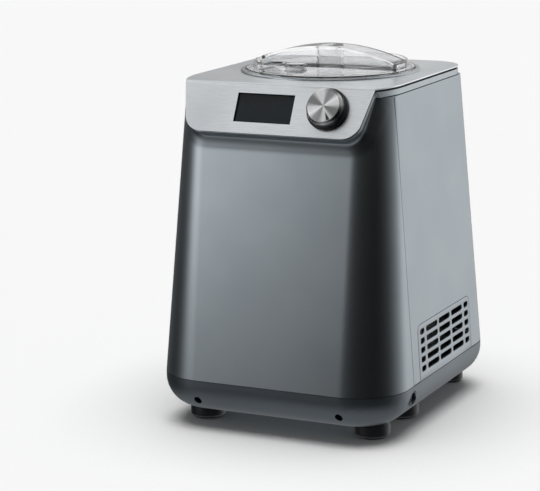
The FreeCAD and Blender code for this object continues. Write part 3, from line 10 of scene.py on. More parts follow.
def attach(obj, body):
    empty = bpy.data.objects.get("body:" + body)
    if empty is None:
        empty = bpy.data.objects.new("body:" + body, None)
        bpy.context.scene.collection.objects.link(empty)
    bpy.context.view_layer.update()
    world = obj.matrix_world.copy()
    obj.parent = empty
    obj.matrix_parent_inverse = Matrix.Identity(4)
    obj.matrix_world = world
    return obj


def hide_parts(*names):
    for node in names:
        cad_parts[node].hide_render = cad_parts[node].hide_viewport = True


bl_info = {
    "name": "Compressor ice cream maker",
    "version": (1, 0, 0),
    "blender": (4, 5, 0),
    "location": "3D View > Sidebar > Ice cream maker",
    "description": "Builds the looks of a tabletop ice cream maker around its fixed mechanical frame",
    "category": "Object",
}

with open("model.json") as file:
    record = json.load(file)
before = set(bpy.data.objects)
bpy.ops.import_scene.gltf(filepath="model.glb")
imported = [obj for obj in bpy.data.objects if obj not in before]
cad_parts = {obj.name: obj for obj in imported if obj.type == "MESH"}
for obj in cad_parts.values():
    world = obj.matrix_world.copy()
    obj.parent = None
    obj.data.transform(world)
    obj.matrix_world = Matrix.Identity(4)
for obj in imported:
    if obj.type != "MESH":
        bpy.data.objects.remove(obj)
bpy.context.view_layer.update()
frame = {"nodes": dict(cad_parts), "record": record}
NODES = frame["nodes"]
MM = 0.001


# ------------ Helpers: colours, nodes and meshes ------------
def linear(code):
    """sRGB hex to a linear colour with alpha."""
    values = [int(code[i:i + 2], 16) / 255 for i in (1, 3, 5)]
    return tuple(v / 12.92 if v <= 0.04045 else ((v + 0.055) / 1.055) ** 2.4 for v in values) + (1.0,)


def put(tree, kind, inputs=None, **settings):
    """Adds a node; inputs holds a value or a link for each socket's name or number."""
    node = tree.nodes.new(kind)
    for key, value in settings.items():
        setattr(node, key, value)
    for key, value in (inputs or {}).items():
        if isinstance(value, bpy.types.NodeSocket):
            tree.links.new(value, node.inputs[key])
        else:
            node.inputs[key].default_value = value
    return node


def per_metre(size_mm):
    """Scale of a procedural pattern whose features are this many millimetres apart."""
    return 1000 / size_mm


def ramp(tree, factor, stops):
    """A colour ramp through (position, hex or grey) stops."""
    node = put(tree, "ShaderNodeValToRGB", {"Fac": factor})
    elements = node.color_ramp.elements
    while len(elements) < len(stops):
        elements.new(0.5)
    for element, (position, colour) in zip(elements, stops):
        element.position = position
        element.color = linear(colour) if isinstance(colour, str) else (colour, colour, colour, 1)
    return node.outputs["Color"]


def mixed(tree, factor, first, second, blend="MIX"):
    """Mixes two colours; each of them and the factor is a link or a plain value."""
    node = put(tree, "ShaderNodeMix", {0: factor, 6: first, 7: second}, data_type="RGBA", blend_type=blend)
    return node.outputs[2]


def empty_tree(owner):
    """The node tree of a material or world, emptied."""
    owner.use_nodes = True
    owner.node_tree.nodes.clear()
    return owner.node_tree


def start_material(name, **shader):
    """A new material with a Principled shader whose plain values are set on its own sockets."""
    material = bpy.data.materials.new(name)
    tree = empty_tree(material)
    body = put(tree, "ShaderNodeBsdfPrincipled")
    for key, value in shader.items():
        body.inputs[key.replace("_", " ")].default_value = value
    put(tree, "ShaderNodeOutputMaterial", {"Surface": body.outputs["BSDF"]})
    where = put(tree, "ShaderNodeTexCoord").outputs["Object"]
    return material, tree, body, where


def noise(tree, where, size_mm, detail=2.0, **more):
    """A noise pattern with features this many millimetres apart."""
    node = put(tree, "ShaderNodeTexNoise", {"Vector": where, "Scale": per_metre(size_mm), "Detail": detail,
                                            **more})
    return node.outputs["Fac"]


def tint(tree, body, pattern, *stops):
    """Colours a surface by a pattern."""
    tree.links.new(ramp(tree, pattern, stops), body.inputs["Base Color"])


def vary_roughness(tree, body, pattern, low, high, start=0.0, end=1.0):
    """Lets the roughness run from low to high while a pattern runs from start to end."""
    spread = put(tree, "ShaderNodeMapRange", {"Value": pattern, "From Min": start, "From Max": end,
                                              "To Min": low, "To Max": high})
    tree.links.new(spread.outputs["Result"], body.inputs["Roughness"])


def relief(tree, body, pattern, strength, depth_mm):
    """Raises a pattern from the surface."""
    bump = put(tree, "ShaderNodeBump", {"Height": pattern, "Strength": strength, "Distance": depth_mm * MM})
    tree.links.new(bump.outputs["Normal"], body.inputs["Normal"])


def new_object(name, data):
    thing = bpy.data.objects.new(name, data)
    bpy.context.scene.collection.objects.link(thing)
    return thing


def mesh_object(name, points, faces):
    """A new object from points in metres."""
    mesh = bpy.data.meshes.new(name)
    mesh.from_pydata([tuple(p) for p in points], [], faces)
    mesh.validate()
    return new_object(name, mesh)


def from_bmesh(name, work):
    mesh = bpy.data.meshes.new(name)
    work.to_mesh(mesh)
    work.free()
    return new_object(name, mesh)


def bake(thing):
    """Turns an object with modifiers into a plain mesh of the same name."""
    bpy.context.view_layer.update()
    graph = bpy.context.evaluated_depsgraph_get()
    mesh = bpy.data.meshes.new_from_object(thing.evaluated_get(graph), depsgraph=graph)
    thing.modifiers.clear()
    thing.data = mesh
    return thing


def smooth(thing, degrees=35):
    """Smooth shading that stays sharp at corners."""
    mesh = thing.data
    mesh.shade_smooth()
    mesh.set_sharp_from_angle(angle=math.radians(degrees))
    return thing


def outward(thing):
    """Merges doubles and turns every face outwards."""
    work = bmesh.new()
    work.from_mesh(thing.data)
    bmesh.ops.remove_doubles(work, verts=work.verts, dist=1e-6)
    bmesh.ops.recalc_face_normals(work, faces=work.faces)
    work.to_mesh(thing.data)
    work.free()
    return thing


def round_corners(thing, width, segments, degrees):
    """Rounds every corner sharper than an angle by a width in millimetres."""
    bevel = thing.modifiers.new("Rounded corners", "BEVEL")
    bevel.width, bevel.segments = width * MM, segments
    bevel.limit_method, bevel.angle_limit = "ANGLE", math.radians(degrees)
    return bevel


def softened(node, width, segments=2):
    """A piece made from a copy of a CAD node's mesh, with its corners rounded by a width in millimetres."""
    thing = new_object(node + "_skin", NODES[node].data.copy())
    thing.data.materials.clear()
    work = bmesh.new()
    work.from_mesh(thing.data)
    bmesh.ops.remove_doubles(work, verts=work.verts, dist=2e-6)
    bmesh.ops.dissolve_limit(work, angle_limit=math.radians(0.4), verts=work.verts, edges=work.edges)
    work.to_mesh(thing.data)
    work.free()
    round_corners(thing, width, segments, 38).miter_outer = "MITER_ARC"
    smooth(bake(thing), 30)
    even = thing.modifiers.new("Even shading on flat faces", "WEIGHTED_NORMAL")
    even.keep_sharp = True
    return bake(thing)


def lathe(name, profile, radii, segments=96, axis=Matrix.Identity(4)):
    """A turned piece from a closed (radius, height) profile in millimetres, with its corners rounded."""
    points, rings = [], []
    for radius, height in rounded(profile, radii):
        if radius < 1e-6:
            rings.append([len(points)])
            points.append(axis @ Vector((0, 0, height * MM)))
            continue
        ring = []
        for index in range(segments):
            angle = 2 * math.pi * index / segments
            ring.append(len(points))
            points.append(axis @ (Vector((radius * math.cos(angle), radius * math.sin(angle), height)) * MM))
        rings.append(ring)
    faces = []
    for lower, upper in zip(rings, rings[1:] + rings[:1]):
        for index in range(segments):
            following = (index + 1) % segments
            face = [lower[index % len(lower)], lower[following % len(lower)],
                    upper[following % len(upper)], upper[index % len(upper)]]
            face = list(dict.fromkeys(face))
            if len(face) > 2:
                faces.append(face)
    return outward(mesh_object(name, points, faces))


def rounded(profile, radii, steps=4):
    """Rounds the corners of a closed profile; radii holds a radius for each corner's number."""
    result = []
    count = len(profile)
    for index, point in enumerate(profile):
        here = Vector(point)
        radius = radii.get(index, 0)
        if not radius:
            result.append(tuple(here))
            continue
        before = (Vector(profile[index - 1]) - here).normalized()
        after = (Vector(profile[(index + 1) % count]) - here).normalized()
        half = before.angle(after) / 2
        reach = radius / math.tan(half)
        centre = here + (before + after).normalized() * (radius / math.sin(half))
        start, end = here + before * reach - centre, here + after * reach - centre
        for step in range(steps + 1):
            blend = start.lerp(end, step / steps).normalized() * radius
            result.append(tuple(centre + blend))
    return result


def paint(thing, finish):
    thing.data.materials.clear()
    thing.data.materials.append(finish_of(finish))


def finished(thing, body, slot, *nodes, finish=None):
    """Gives a piece its body and a finish, the slot's own unless another is named, and hides the CAD nodes it
    stands for.
    """
    paint(thing, finish or slot)
    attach(thing, body)
    if nodes:
        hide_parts(*nodes)


# ------------ The fascia's own frame and the housing's shape ------------
# Sizes here are in millimetres; FASCIA, the fascia's own frame, is in metres like the scene.
TILT = math.radians(27.25)
SINE, COSINE = math.sin(TILT), math.cos(TILT)
FOLD_Y, FOLD_Z = -105.5, 330.0
COLLAR_DEPTH = 8.9
FASCIA = Matrix.Translation(Vector((0, FOLD_Y, FOLD_Z)) * MM) @ Matrix.Rotation(math.pi / 2 - TILT, 4, "X")
# The housing tapers from the base's rim to the fold: each pair is its size below and above.
RIM_Z = 49.0
HALF_WIDTH = 124.0, 106.0
FRONT_Y = -142.5, FOLD_Y
REAR_Y = 142.5, 109.0
CORNER = 50.0, 30.0
# The brow's half width at the fold, how fast it narrows, how far it hangs and its lower corners.
BROW_HALF, BROW_SLANT, BROW_DROP, BROW_CORNER = 96.0, 0.214, 48.8, 18.0
# The seam between the front and the side panels leans forward as it rises.
SEAM_Y, SEAM_LEAN, SEAM_RISE = -79.0, 4.5, 272.5
PANEL_WALL = 2.5
BOWL_Y = 12.5
SIDES = (-1, 1)
# Each foot's place, and its width as a share of a large foot's.
FOOT_PLACES = [(side * 86.5, y, scale) for side in SIDES
               for y, scale in ((-90.5, 1), (-18.5, 1), (117, 12 / 17))]
# The facing of copies that stand upright, and the size of copies that are not scaled.
UP = (0, 0, 1)
PLAIN = (1, 1, 1)


def on_fascia(x, drop, out=0.0):
    """Matrix of a spot on the fascia, its Z axis pointing out of it; sizes in millimetres."""
    return FASCIA @ Matrix.Translation(Vector((x, -drop, out)) * MM)


def tapered(height, low, high):
    """A size of the housing at a height, between its values at the rim and at the fold."""
    return low + (high - low) * (height - RIM_Z) / (FOLD_Z - RIM_Z)


def seam_y(height):
    return SEAM_Y - SEAM_LEAN * (height - RIM_Z) / SEAM_RISE


def shell_distance(x, y, z):
    """Signed distance from the tapered housing's outline at a height."""
    half, corner = tapered(z, *HALF_WIDTH), tapered(z, *CORNER)
    front, rear = tapered(z, *FRONT_Y), tapered(z, *REAR_Y)
    middle, reach = (front + rear) / 2, (rear - front) / 2
    beside = np.abs(x) - half + corner
    along = np.abs(y - middle) - reach + corner
    outside = np.hypot(np.maximum(beside, 0), np.maximum(along, 0))
    return outside + np.minimum(np.maximum(beside, along), 0) - corner


def brow_distance(x, y, z):
    """Signed distance from the brow, a prism behind the fascia's outline."""
    drop = -(y - FOLD_Y) * SINE - (z - FOLD_Z) * COSINE
    lean = math.atan(BROW_SLANT)
    side = (np.abs(x) - BROW_HALF + BROW_SLANT * drop) * math.cos(lean)
    lower = drop - BROW_DROP
    # The lower corners are arcs that touch the side and the lower edge.
    inset = BROW_CORNER * math.tan((math.pi / 2 - lean) / 2)
    dx = np.abs(x) - (BROW_HALF - BROW_SLANT * BROW_DROP - inset)
    ds = drop - (BROW_DROP - BROW_CORNER)
    angle = np.arctan2(ds, dx)
    in_corner = (angle > lean) & (angle < math.pi / 2)
    return np.where(in_corner, np.hypot(dx, ds) - BROW_CORNER, np.maximum(side, lower))


def collar_distance(y, z):
    """Height over the plane under the collar; the housing ends where this is nought."""
    out = -(y - FOLD_Y) * COSINE + (z - FOLD_Z) * SINE
    return np.maximum(z - (FOLD_Z - COLLAR_DEPTH), out + COLLAR_DEPTH)


def front_distance(x, y, z, blend):
    """The housing and its brow, flowing into each other below the collar."""
    a, b = brow_distance(x, y, z), shell_distance(x, y, z)
    width = np.clip(-collar_distance(y, z) * 1.1, 0.01, blend)
    share = np.clip(0.5 + 0.5 * (b - a) / width, 0, 1)
    return b + (a - b) * share - width * share * (1 - share)


def front_surface(aim_x, aim_y, z, depth, blend):
    """Where rays from the seam's middle leave the housing, depth millimetres inside its face."""
    start_y = seam_y(z)
    dx, dy = aim_x, aim_y - start_y
    length = np.hypot(dx, dy)
    dx, dy = dx / length, dy / length
    # The face lies between a near point inside it and a far one outside; each round halves the gap.
    near, far = np.full_like(z, 5.0), np.full_like(z, 170.0)
    for _ in range(34):
        middle = (near + far) / 2
        inside = front_distance(dx * middle, start_y + dy * middle, z, blend) < -depth
        near, far = np.where(inside, middle, near), np.where(inside, far, middle)
    return dx * near, start_y + dy * near


def front_skin(name, wall, blend):
    """The front panel: outer and inner faces on one grid, closed along its four edges."""
    columns, rows = 220, 96
    across = np.linspace(0, 1, columns)
    # Aim points run along the outline from the right seam round the front to the left seam.
    half, front, corner, seam = 112.0, -122.0, 38.0, -81.0
    straight_side = abs(front) - corner - abs(seam)
    straight_front = 2 * (half - corner)
    arc = corner * math.pi / 2
    total = 2 * straight_side + 2 * arc + straight_front
    aims = []
    for step in across * total:
        if step < straight_side:
            aims.append((half, seam - step))
        elif step < straight_side + arc:
            turn = (step - straight_side) / corner
            aims.append((half - corner + corner * math.cos(turn), front + corner - corner * math.sin(turn)))
        elif step <= straight_side + arc + straight_front:
            aims.append((half - corner - (step - straight_side - arc), front))
        elif step <= straight_side + 2 * arc + straight_front:
            turn = (step - straight_side - arc - straight_front) / corner
            aims.append((-half + corner - corner * math.sin(turn), front + corner - corner * math.cos(turn)))
        else:
            aims.append((-half, front + corner + step - total + straight_side))
    aims = np.array(aims)
    # Every aim is kept at a steady bearing from a point just in front of the seam.
    bearing = np.arctan2(aims[:, 1] - (seam + 1), aims[:, 0])
    bearing[0], bearing[-1] = 0, -math.pi
    unit_x, unit_y = np.cos(bearing), np.sin(bearing)

    def sheet(depth):
        """Points of one face, from just over the rim up to the collar, closer together near it."""
        bottom = RIM_Z + 0.5
        low, high = np.full(columns, 240.0), np.full(columns, 322.5)
        for _ in range(24):
            middle = (low + high) / 2
            x, y = front_surface(unit_x, seam_y(middle) + unit_y, middle, depth, blend)
            under = collar_distance(y, middle) < 0
            low, high = np.where(under, middle, low), np.where(under, high, middle)
        top = low
        grid = []
        for row in range(rows):
            rise = 1 - (1 - row / (rows - 1)) ** 1.9
            z = bottom + (top - bottom) * rise
            x, y = front_surface(unit_x, seam_y(z) + unit_y, z, depth, blend)
            grid.append(np.stack([x, y - 0.25 * (np.abs(unit_y) < 1e-9), z], axis=1))
        return np.array(grid)

    outer, inner = sheet(0.0), sheet(wall)
    points = np.concatenate([outer.reshape(-1, 3), inner.reshape(-1, 3)]) * MM
    shift = rows * columns
    faces = []
    for row in range(rows - 1):
        for column in range(columns - 1):
            a = row * columns + column
            faces.append((a, a + 1, a + columns + 1, a + columns))
            b = a + shift
            faces.append((b + columns, b + columns + 1, b + 1, b))
    border = list(range(columns))
    border += [row * columns + columns - 1 for row in range(1, rows)]
    border += [(rows - 1) * columns + column for column in range(columns - 2, -1, -1)]
    border += [row * columns for row in range(rows - 2, 0, -1)]
    for a, b in zip(border, border[1:] + border[:1]):
        faces.append((b, a, a + shift, b + shift))
    thing = outward(mesh_object(name, points, faces))
    return smooth(thing, 40)


# ------------ Materials ------------
def moulded(name, colour, shade, roughness, grain_mm, depth_mm, **shader):
    """Moulded or painted surface: a fine grain in relief and slow drifts of tone."""
    material, tree, body, where = start_material(name, **shader)
    fine, slow = noise(tree, where, grain_mm, 3.0), noise(tree, where, 60)
    tone = put(tree, "ShaderNodeMath", {0: fine, 1: slow}, operation="MULTIPLY")
    tint(tree, body, tone.outputs[0], (0.12, shade), (0.36, colour))
    vary_roughness(tree, body, fine, roughness - 0.03, roughness + 0.04, 0.3, 0.7)
    relief(tree, body, fine, 0.25, depth_mm)
    return material


def brushed(name, colour, shade, roughness, line_mm, along):
    """Brushed metal: lines along the axis with the smallest scale, or an even grain if all are alike."""
    material, tree, body, where = start_material(name, Metallic=1.0)
    stretch = put(tree, "ShaderNodeMapping", {"Vector": where, "Scale": along})
    # Across an axis whose scale is 40 the lines are line_mm apart.
    lines = noise(tree, stretch.outputs[0], line_mm * 40, 6.0, Roughness=0.7)
    cloud = noise(tree, where, 90, 1.0)
    tone = put(tree, "ShaderNodeMath", {0: lines, 1: cloud}, operation="MULTIPLY")
    tint(tree, body, tone.outputs[0], (0.1, shade), (0.4, colour))
    vary_roughness(tree, body, lines, roughness - 0.05, roughness + 0.07, 0.25, 0.75)
    relief(tree, body, lines, 0.2, 0.02)
    return material


def clear(name, shade, roughness, **shader):
    """Injection-moulded clear plastic: faint flow ripples that bend the highlights."""
    material, tree, body, where = start_material(name, **shader)
    ripple = noise(tree, where, 14, 1.0)
    tint(tree, body, ripple, (0.2, shade), (0.8, "#ffffff"))
    vary_roughness(tree, body, ripple, roughness, roughness + 0.03)
    relief(tree, body, ripple, 0.15, 0.1)
    return material


def spun(name, colour, shade):
    """Aluminium faced off on a lathe: circular grooves that draw highlights out into fans."""
    material, tree, body, where = start_material(name, Metallic=1.0, Roughness=0.24, Anisotropic=0.9,
                                                Anisotropic_Rotation=0.25)
    flat = put(tree, "ShaderNodeUVMap", uv_map="Turned").outputs["UV"]
    stretch = put(tree, "ShaderNodeMapping", {"Vector": flat, "Scale": (3, 190, 1)})
    groove = put(tree, "ShaderNodeTexNoise", {"Vector": stretch.outputs[0], "Scale": 1.0, "Detail": 3.0})
    turned = ramp(tree, groove.outputs["Fac"], [(0.3, shade), (0.7, colour)])
    # Four lighter fans of tone round the face stand for part of the light that the grooves throw.
    around = put(tree, "ShaderNodeSeparateXYZ", {"Vector": flat})
    angle = put(tree, "ShaderNodeMath", {0: around.outputs["X"], 1: 4 * 2 * math.pi}, operation="MULTIPLY")
    wave = put(tree, "ShaderNodeMath", {0: angle.outputs[0]}, operation="SINE")
    share = put(tree, "ShaderNodeMapRange", {"Value": wave.outputs[0], "From Min": -1.0})
    fans = ramp(tree, share.outputs["Result"], [(0.15, 0.3), (0.5, 0.62), (0.8, 1.0)])
    tree.links.new(mixed(tree, 1.0, turned, fans, "MULTIPLY"), body.inputs["Base Color"])
    relief(tree, body, groove.outputs["Fac"], 0.3, 0.02)
    tangent = put(tree, "ShaderNodeTangent", direction_type="UV_MAP", uv_map="Turned")
    tree.links.new(tangent.outputs["Tangent"], body.inputs["Tangent"])
    return material


def cellular(name, colour, shade):
    """Rigid foam: small closed cells with darker walls."""
    material, tree, body, where = start_material(name)
    cells = put(tree, "ShaderNodeTexVoronoi", {"Vector": where, "Scale": per_metre(1.5)})
    tint(tree, body, cells.outputs["Distance"], (0.1, shade), (0.6, colour))
    vary_roughness(tree, body, cells.outputs["Distance"], 0.75, 0.95)
    relief(tree, body, cells.outputs["Distance"], 0.5, 0.4)
    return material


def make_materials(sizes):
    """Every finish on the machine, by the name of the record's slot or of the piece."""
    return {
        # Satin metallic lacquer on ABS: broad soft highlights that fall off to near black at the corners.
        "housing": moulded("satin_grey_metallic_lacquer_on_abs", sizes.housing_colour, sizes.housing_shade,
                           0.36, 0.5, 0.02, Metallic=1.0),
        # The collar is a little lighter than the housing, and the tray is darker.
        "collar": moulded("grey_lacquered_abs_collar", "#a9b0b4", "#a0a7ab", 0.34, 0.5, 0.02, Metallic=1.0),
        "base": moulded("dark_grey_satin_abs", "#737b81", "#6c747a", 0.42, 0.5, 0.03, Metallic=0.97),
        # Fine lines run across the machine.
        "steel_plate": brushed("brushed_stainless_steel", "#eef1f3", "#c9ced2", 0.3, 0.35, (1, 40, 40)),
        "gasket_black": moulded("black_epdm_gasket", "#101214", "#08090a", 0.7, 0.4, 0.05),
        "display_glass": moulded("black_display_glass", "#1c2126", "#161b1f", 0.12, 2.0, 0.004,
                                 Specular_IOR_Level=0.25),
        "electronics": moulded("green_epoxy_glass_board", "#1f5a3c", "#174a30", 0.45, 1.2, 0.06),
        "knob_metal": spun("spun_aluminium", "#ffffff", "#e2e5e7"),
        "knob_black": moulded("black_polyamide", "#15181b", "#0c0e10", 0.35, 0.6, 0.03),
        "ring_metal": brushed("polished_stainless_ring", "#c9ced2", "#a4aaae", 0.2, 0.3, (14, 14, 14)),
        "clear_lid": clear("clear_san_plastic", "#fafbfc", 0.02, IOR=1.57, Transmission_Weight=1.0),
        "seal_silicone": moulded("translucent_silicone", "#d6dadb", "#c3c8ca", 0.5, 0.8, 0.03,
                                 Subsurface_Weight=0.2, Subsurface_Scale=0.003),
        "bowl_aluminium": brushed("anodised_aluminium", "#e6e9eb", "#cdd1d4", 0.32, 0.3, (40, 40, 1)),
        "paddle_plastic": moulded("white_polypropylene", "#eceeee", "#dfe2e2", 0.4, 1.0, 0.03,
                                  Subsurface_Weight=0.1, Subsurface_Scale=0.002),
        "wire_steel": brushed("drawn_stainless_wire", "#d2d5d7", "#a9adb0", 0.22, 0.3, (1, 30, 30)),
        "foam": cellular("rigid_polyurethane_foam", "#ead9a0", "#cfb978"),
        "copper": brushed("drawn_copper_tube", "#d08a5e", "#a9643f", 0.28, 0.5, (6, 6, 30)),
        "fin_aluminium": brushed("mill_aluminium_fins", "#c9cccd", "#aeb2b4", 0.35, 0.4, (30, 1, 30)),
        "compressor_black": moulded("black_stove_enamel", "#17191b", "#0d0e10", 0.28, 1.5, 0.08),
        "zinc_steel": moulded("zinc_plated_steel", "#b4b8bb", "#93979b", 0.35, 1.2, 0.03, Metallic=1.0),
        "gear_plastic": moulded("natural_acetal", "#e6e3da", "#d7d3c8", 0.38, 0.8, 0.03),
        "inner_black": moulded("black_abs", "#1b1e20", "#111315", 0.5, 0.6, 0.05),
        "feet_black": moulded("black_moulded_foot", "#23282c", "#191d20", 0.42, 0.7, 0.04),
        "pad_rubber": moulded("black_rubber", "#16181a", "#0e1011", 0.8, 0.5, 0.08),
        "shaft_steel": brushed("ground_steel", "#b9bdc0", "#8f9396", 0.25, 0.3, (30, 30, 30)),
        # Bright nickel on the screws' heads.
        "screw": moulded("nickel_plated_screw", "#9ea3a7", "#7c8185", 0.3, 0.6, 0.03, Metallic=1.0),
    }


# ------------ Geometry Nodes: copies on points, and the grille's rows of slots ------------
def start_geometry(name, sockets):
    """A node group with a geometry input, the named inputs given, and a geometry output."""
    tree = bpy.data.node_groups.new(name, "GeometryNodeTree")
    tree.interface.new_socket("Geometry", in_out="INPUT", socket_type="NodeSocketGeometry")
    for label, kind in sockets:
        tree.interface.new_socket(label, in_out="INPUT", socket_type="NodeSocket" + kind)
    tree.interface.new_socket("Geometry", in_out="OUTPUT", socket_type="NodeSocketGeometry")
    return tree, put(tree, "NodeGroupInput").outputs


def end_geometry(tree, geometry, material):
    """Makes any copies real, sets their material and hands them on."""
    solid = put(tree, "GeometryNodeRealizeInstances", {"Geometry": geometry})
    coloured = put(tree, "GeometryNodeSetMaterial", {"Geometry": solid.outputs["Geometry"],
                                                     "Material": material})
    put(tree, "NodeGroupOutput", {"Geometry": coloured.outputs["Geometry"]})
    return tree


def run_geometry(thing, tree, values):
    """Runs a node group on an object with inputs given by name, and keeps the plain mesh."""
    modifier = thing.modifiers.new("Build", "NODES")
    modifier.node_group = tree
    for item in tree.interface.items_tree:
        if item.item_type == "SOCKET" and item.in_out == "INPUT" and item.name in values:
            modifier[item.identifier] = values[item.name]
    return bake(thing)


def copies_tree():
    """Sets a prototype on every point, turned to the point's facing and scaled to its size."""
    tree, given = start_geometry("Copies on points", [("Prototype", "Object"), ("Material", "Material")])
    shape = put(tree, "GeometryNodeObjectInfo", {"Object": given["Prototype"]}, transform_space="ORIGINAL")
    facing = put(tree, "GeometryNodeInputNamedAttribute", {"Name": "facing"}, data_type="FLOAT_VECTOR")
    size = put(tree, "GeometryNodeInputNamedAttribute", {"Name": "size"}, data_type="FLOAT_VECTOR")
    turn = put(tree, "FunctionNodeAlignRotationToVector", {"Vector": facing.outputs["Attribute"]}, axis="Z")
    placed = put(tree, "GeometryNodeInstanceOnPoints", {
        "Points": given["Geometry"], "Instance": shape.outputs["Geometry"],
        "Rotation": turn.outputs["Rotation"], "Scale": size.outputs["Attribute"]})
    return end_geometry(tree, placed.outputs["Instances"], given["Material"])


def copies(name, prototype, places, finish):
    """One mesh with the prototype at each (point in millimetres, facing, size)."""
    thing = mesh_object(name, [Vector(point) * MM for point, facing, size in places], [])
    for label, column in (("facing", 1), ("size", 2)):
        attribute = thing.data.attributes.new(label, "FLOAT_VECTOR", "POINT")
        values = np.array([place[column] for place in places], np.float32)
        attribute.data.foreach_set("vector", values.ravel())
    run_geometry(thing, copies_tree(), {"Prototype": prototype, "Material": finish_of(finish)})
    bpy.data.objects.remove(prototype)
    return smooth(thing)


def grille_tree():
    """Cuts columns and rows of round-cornered slots out of a panel."""
    tree, given = start_geometry("Grille slots", [
        ("Slot Height", "Float"), ("Row Pitch", "Float"), ("Rows", "Int"), ("Depth", "Float"),
        ("Start", "Float"), ("Corner", "Float"), ("Columns", "Object"), ("Material", "Material")])
    columns = put(tree, "GeometryNodeObjectInfo", {"Object": given["Columns"]}, transform_space="ORIGINAL")
    down = put(tree, "ShaderNodeMath", {0: given["Row Pitch"], 1: -1.0}, operation="MULTIPLY")
    step = put(tree, "ShaderNodeCombineXYZ", {"Y": down.outputs[0]})
    rows = put(tree, "GeometryNodeMeshLine", {"Count": given["Rows"], "Offset": step.outputs[0]})
    column = put(tree, "GeometryNodeInstanceOnPoints", {"Points": columns.outputs["Geometry"],
                                                        "Instance": rows.outputs["Mesh"]})
    points = put(tree, "GeometryNodeRealizeInstances", {"Geometry": column.outputs["Instances"]})
    width = put(tree, "GeometryNodeInputNamedAttribute", {"Name": "slot_length"}, data_type="FLOAT")
    outline = put(tree, "GeometryNodeCurvePrimitiveQuadrilateral", {"Width": 1.0,
                                                                    "Height": given["Slot Height"]})
    stretch = put(tree, "ShaderNodeCombineXYZ", {"X": width.outputs["Attribute"], "Y": 1.0, "Z": 1.0})
    placed = put(tree, "GeometryNodeInstanceOnPoints", {"Points": points.outputs["Geometry"],
                                                        "Instance": outline.outputs["Curve"],
                                                        "Scale": stretch.outputs[0]})
    slots = put(tree, "GeometryNodeRealizeInstances", {"Geometry": placed.outputs["Instances"]})
    soft = put(tree, "GeometryNodeFilletCurve", {"Curve": slots.outputs["Geometry"], "Count": 5,
                                                 "Radius": given["Corner"]}, mode="POLY")
    filled = put(tree, "GeometryNodeFillCurve", {"Curve": soft.outputs["Curve"]}, mode="NGONS")
    block = put(tree, "GeometryNodeExtrudeMesh", {"Mesh": filled.outputs["Mesh"],
                                                  "Offset Scale": given["Depth"], "Individual": False})
    flipped = put(tree, "GeometryNodeFlipFaces", {"Mesh": filled.outputs["Mesh"]})
    closed = put(tree, "GeometryNodeJoinGeometry")
    for part in (block, flipped):
        tree.links.new(part.outputs["Mesh"], closed.inputs["Geometry"])
    welded = put(tree, "GeometryNodeMergeByDistance", {"Geometry": closed.outputs["Geometry"],
                                                       "Distance": 1e-6})
    # The slots are drawn flat, and this turn stands them up along the machine's side.
    shift = put(tree, "ShaderNodeCombineXYZ", {"X": given["Start"]})
    stood = put(tree, "GeometryNodeTransform", {"Geometry": welded.outputs["Geometry"],
                                                "Translation": shift.outputs[0],
                                                "Rotation": (math.pi / 2, 0, math.pi / 2)})
    cut = put(tree, "GeometryNodeMeshBoolean", {"Mesh 1": given["Geometry"],
                                                "Mesh 2": stood.outputs["Geometry"]}, operation="DIFFERENCE")
    return end_geometry(tree, cut.outputs["Mesh"], given["Material"])


# ------------ Settings that a user would change ------------
class MakerSettings(bpy.types.PropertyGroup):
    housing_colour: bpy.props.StringProperty(name="Housing colour", default="#9fa7ac",
                                             description="Colour of the lacquered panels")
    housing_shade: bpy.props.StringProperty(name="Housing shade", default="#98a0a6",
                                            description="Darker tone in the panels' lacquer")
    brow_blend: bpy.props.FloatProperty(name="Brow blend", default=12.0, min=1.0, max=20.0,
                                        description="How softly the brow runs into the front, in millimetres")
    corner_round: bpy.props.FloatProperty(name="Corner rounding", default=0.5, min=0.1, max=1.5,
                                          description="Rounding of the panels' edges, in millimetres")
    slot_rows: bpy.props.IntProperty(name="Grille rows", default=5, min=1, max=5,
                                     description="Rows of slots in each side grille")
    slot_height: bpy.props.FloatProperty(name="Slot height", default=5.5 * MM, unit="LENGTH",
                                         description="Height of a grille slot")
    slot_pitch: bpy.props.FloatProperty(name="Slot pitch", default=8.9 * MM, unit="LENGTH",
                                        description="Rise from one row of slots to the next")
    azimuth: bpy.props.FloatProperty(name="View azimuth", default=math.radians(25.75), subtype="ANGLE",
                                     description="Camera's turn to the right of the front")
    elevation: bpy.props.FloatProperty(name="View elevation", default=math.radians(12.08), subtype="ANGLE",
                                       description="Camera's height over the horizon")
    roll: bpy.props.FloatProperty(name="View roll", default=math.radians(-0.75), subtype="ANGLE",
                                  description="Camera's tilt to the side")
    lens: bpy.props.FloatProperty(name="Lens", default=138.5, min=20, max=300,
                                  description="Focal length on a 36 mm frame, in millimetres")


MATERIALS = {}


def settings():
    return bpy.context.scene.maker


def finish_of(name):
    if not MATERIALS:
        MATERIALS.update(make_materials(settings()))
    return MATERIALS[name]


# ------------ The dome that gives the machine its reflections ------------
TENT_RADIUS = 1.2
TENT_GLOW = 1.9


def share_of(degrees, reach):
    """Where an angle lies between -reach and reach, from 0 to 1."""
    return (degrees + reach) / (2 * reach)


def greys(tree, angle, reach, *stops):
    """Grey levels by degrees, for an angle given as its share of the whole reach."""
    return ramp(tree, angle, [(share_of(degrees, reach), grey) for degrees, grey in stops])


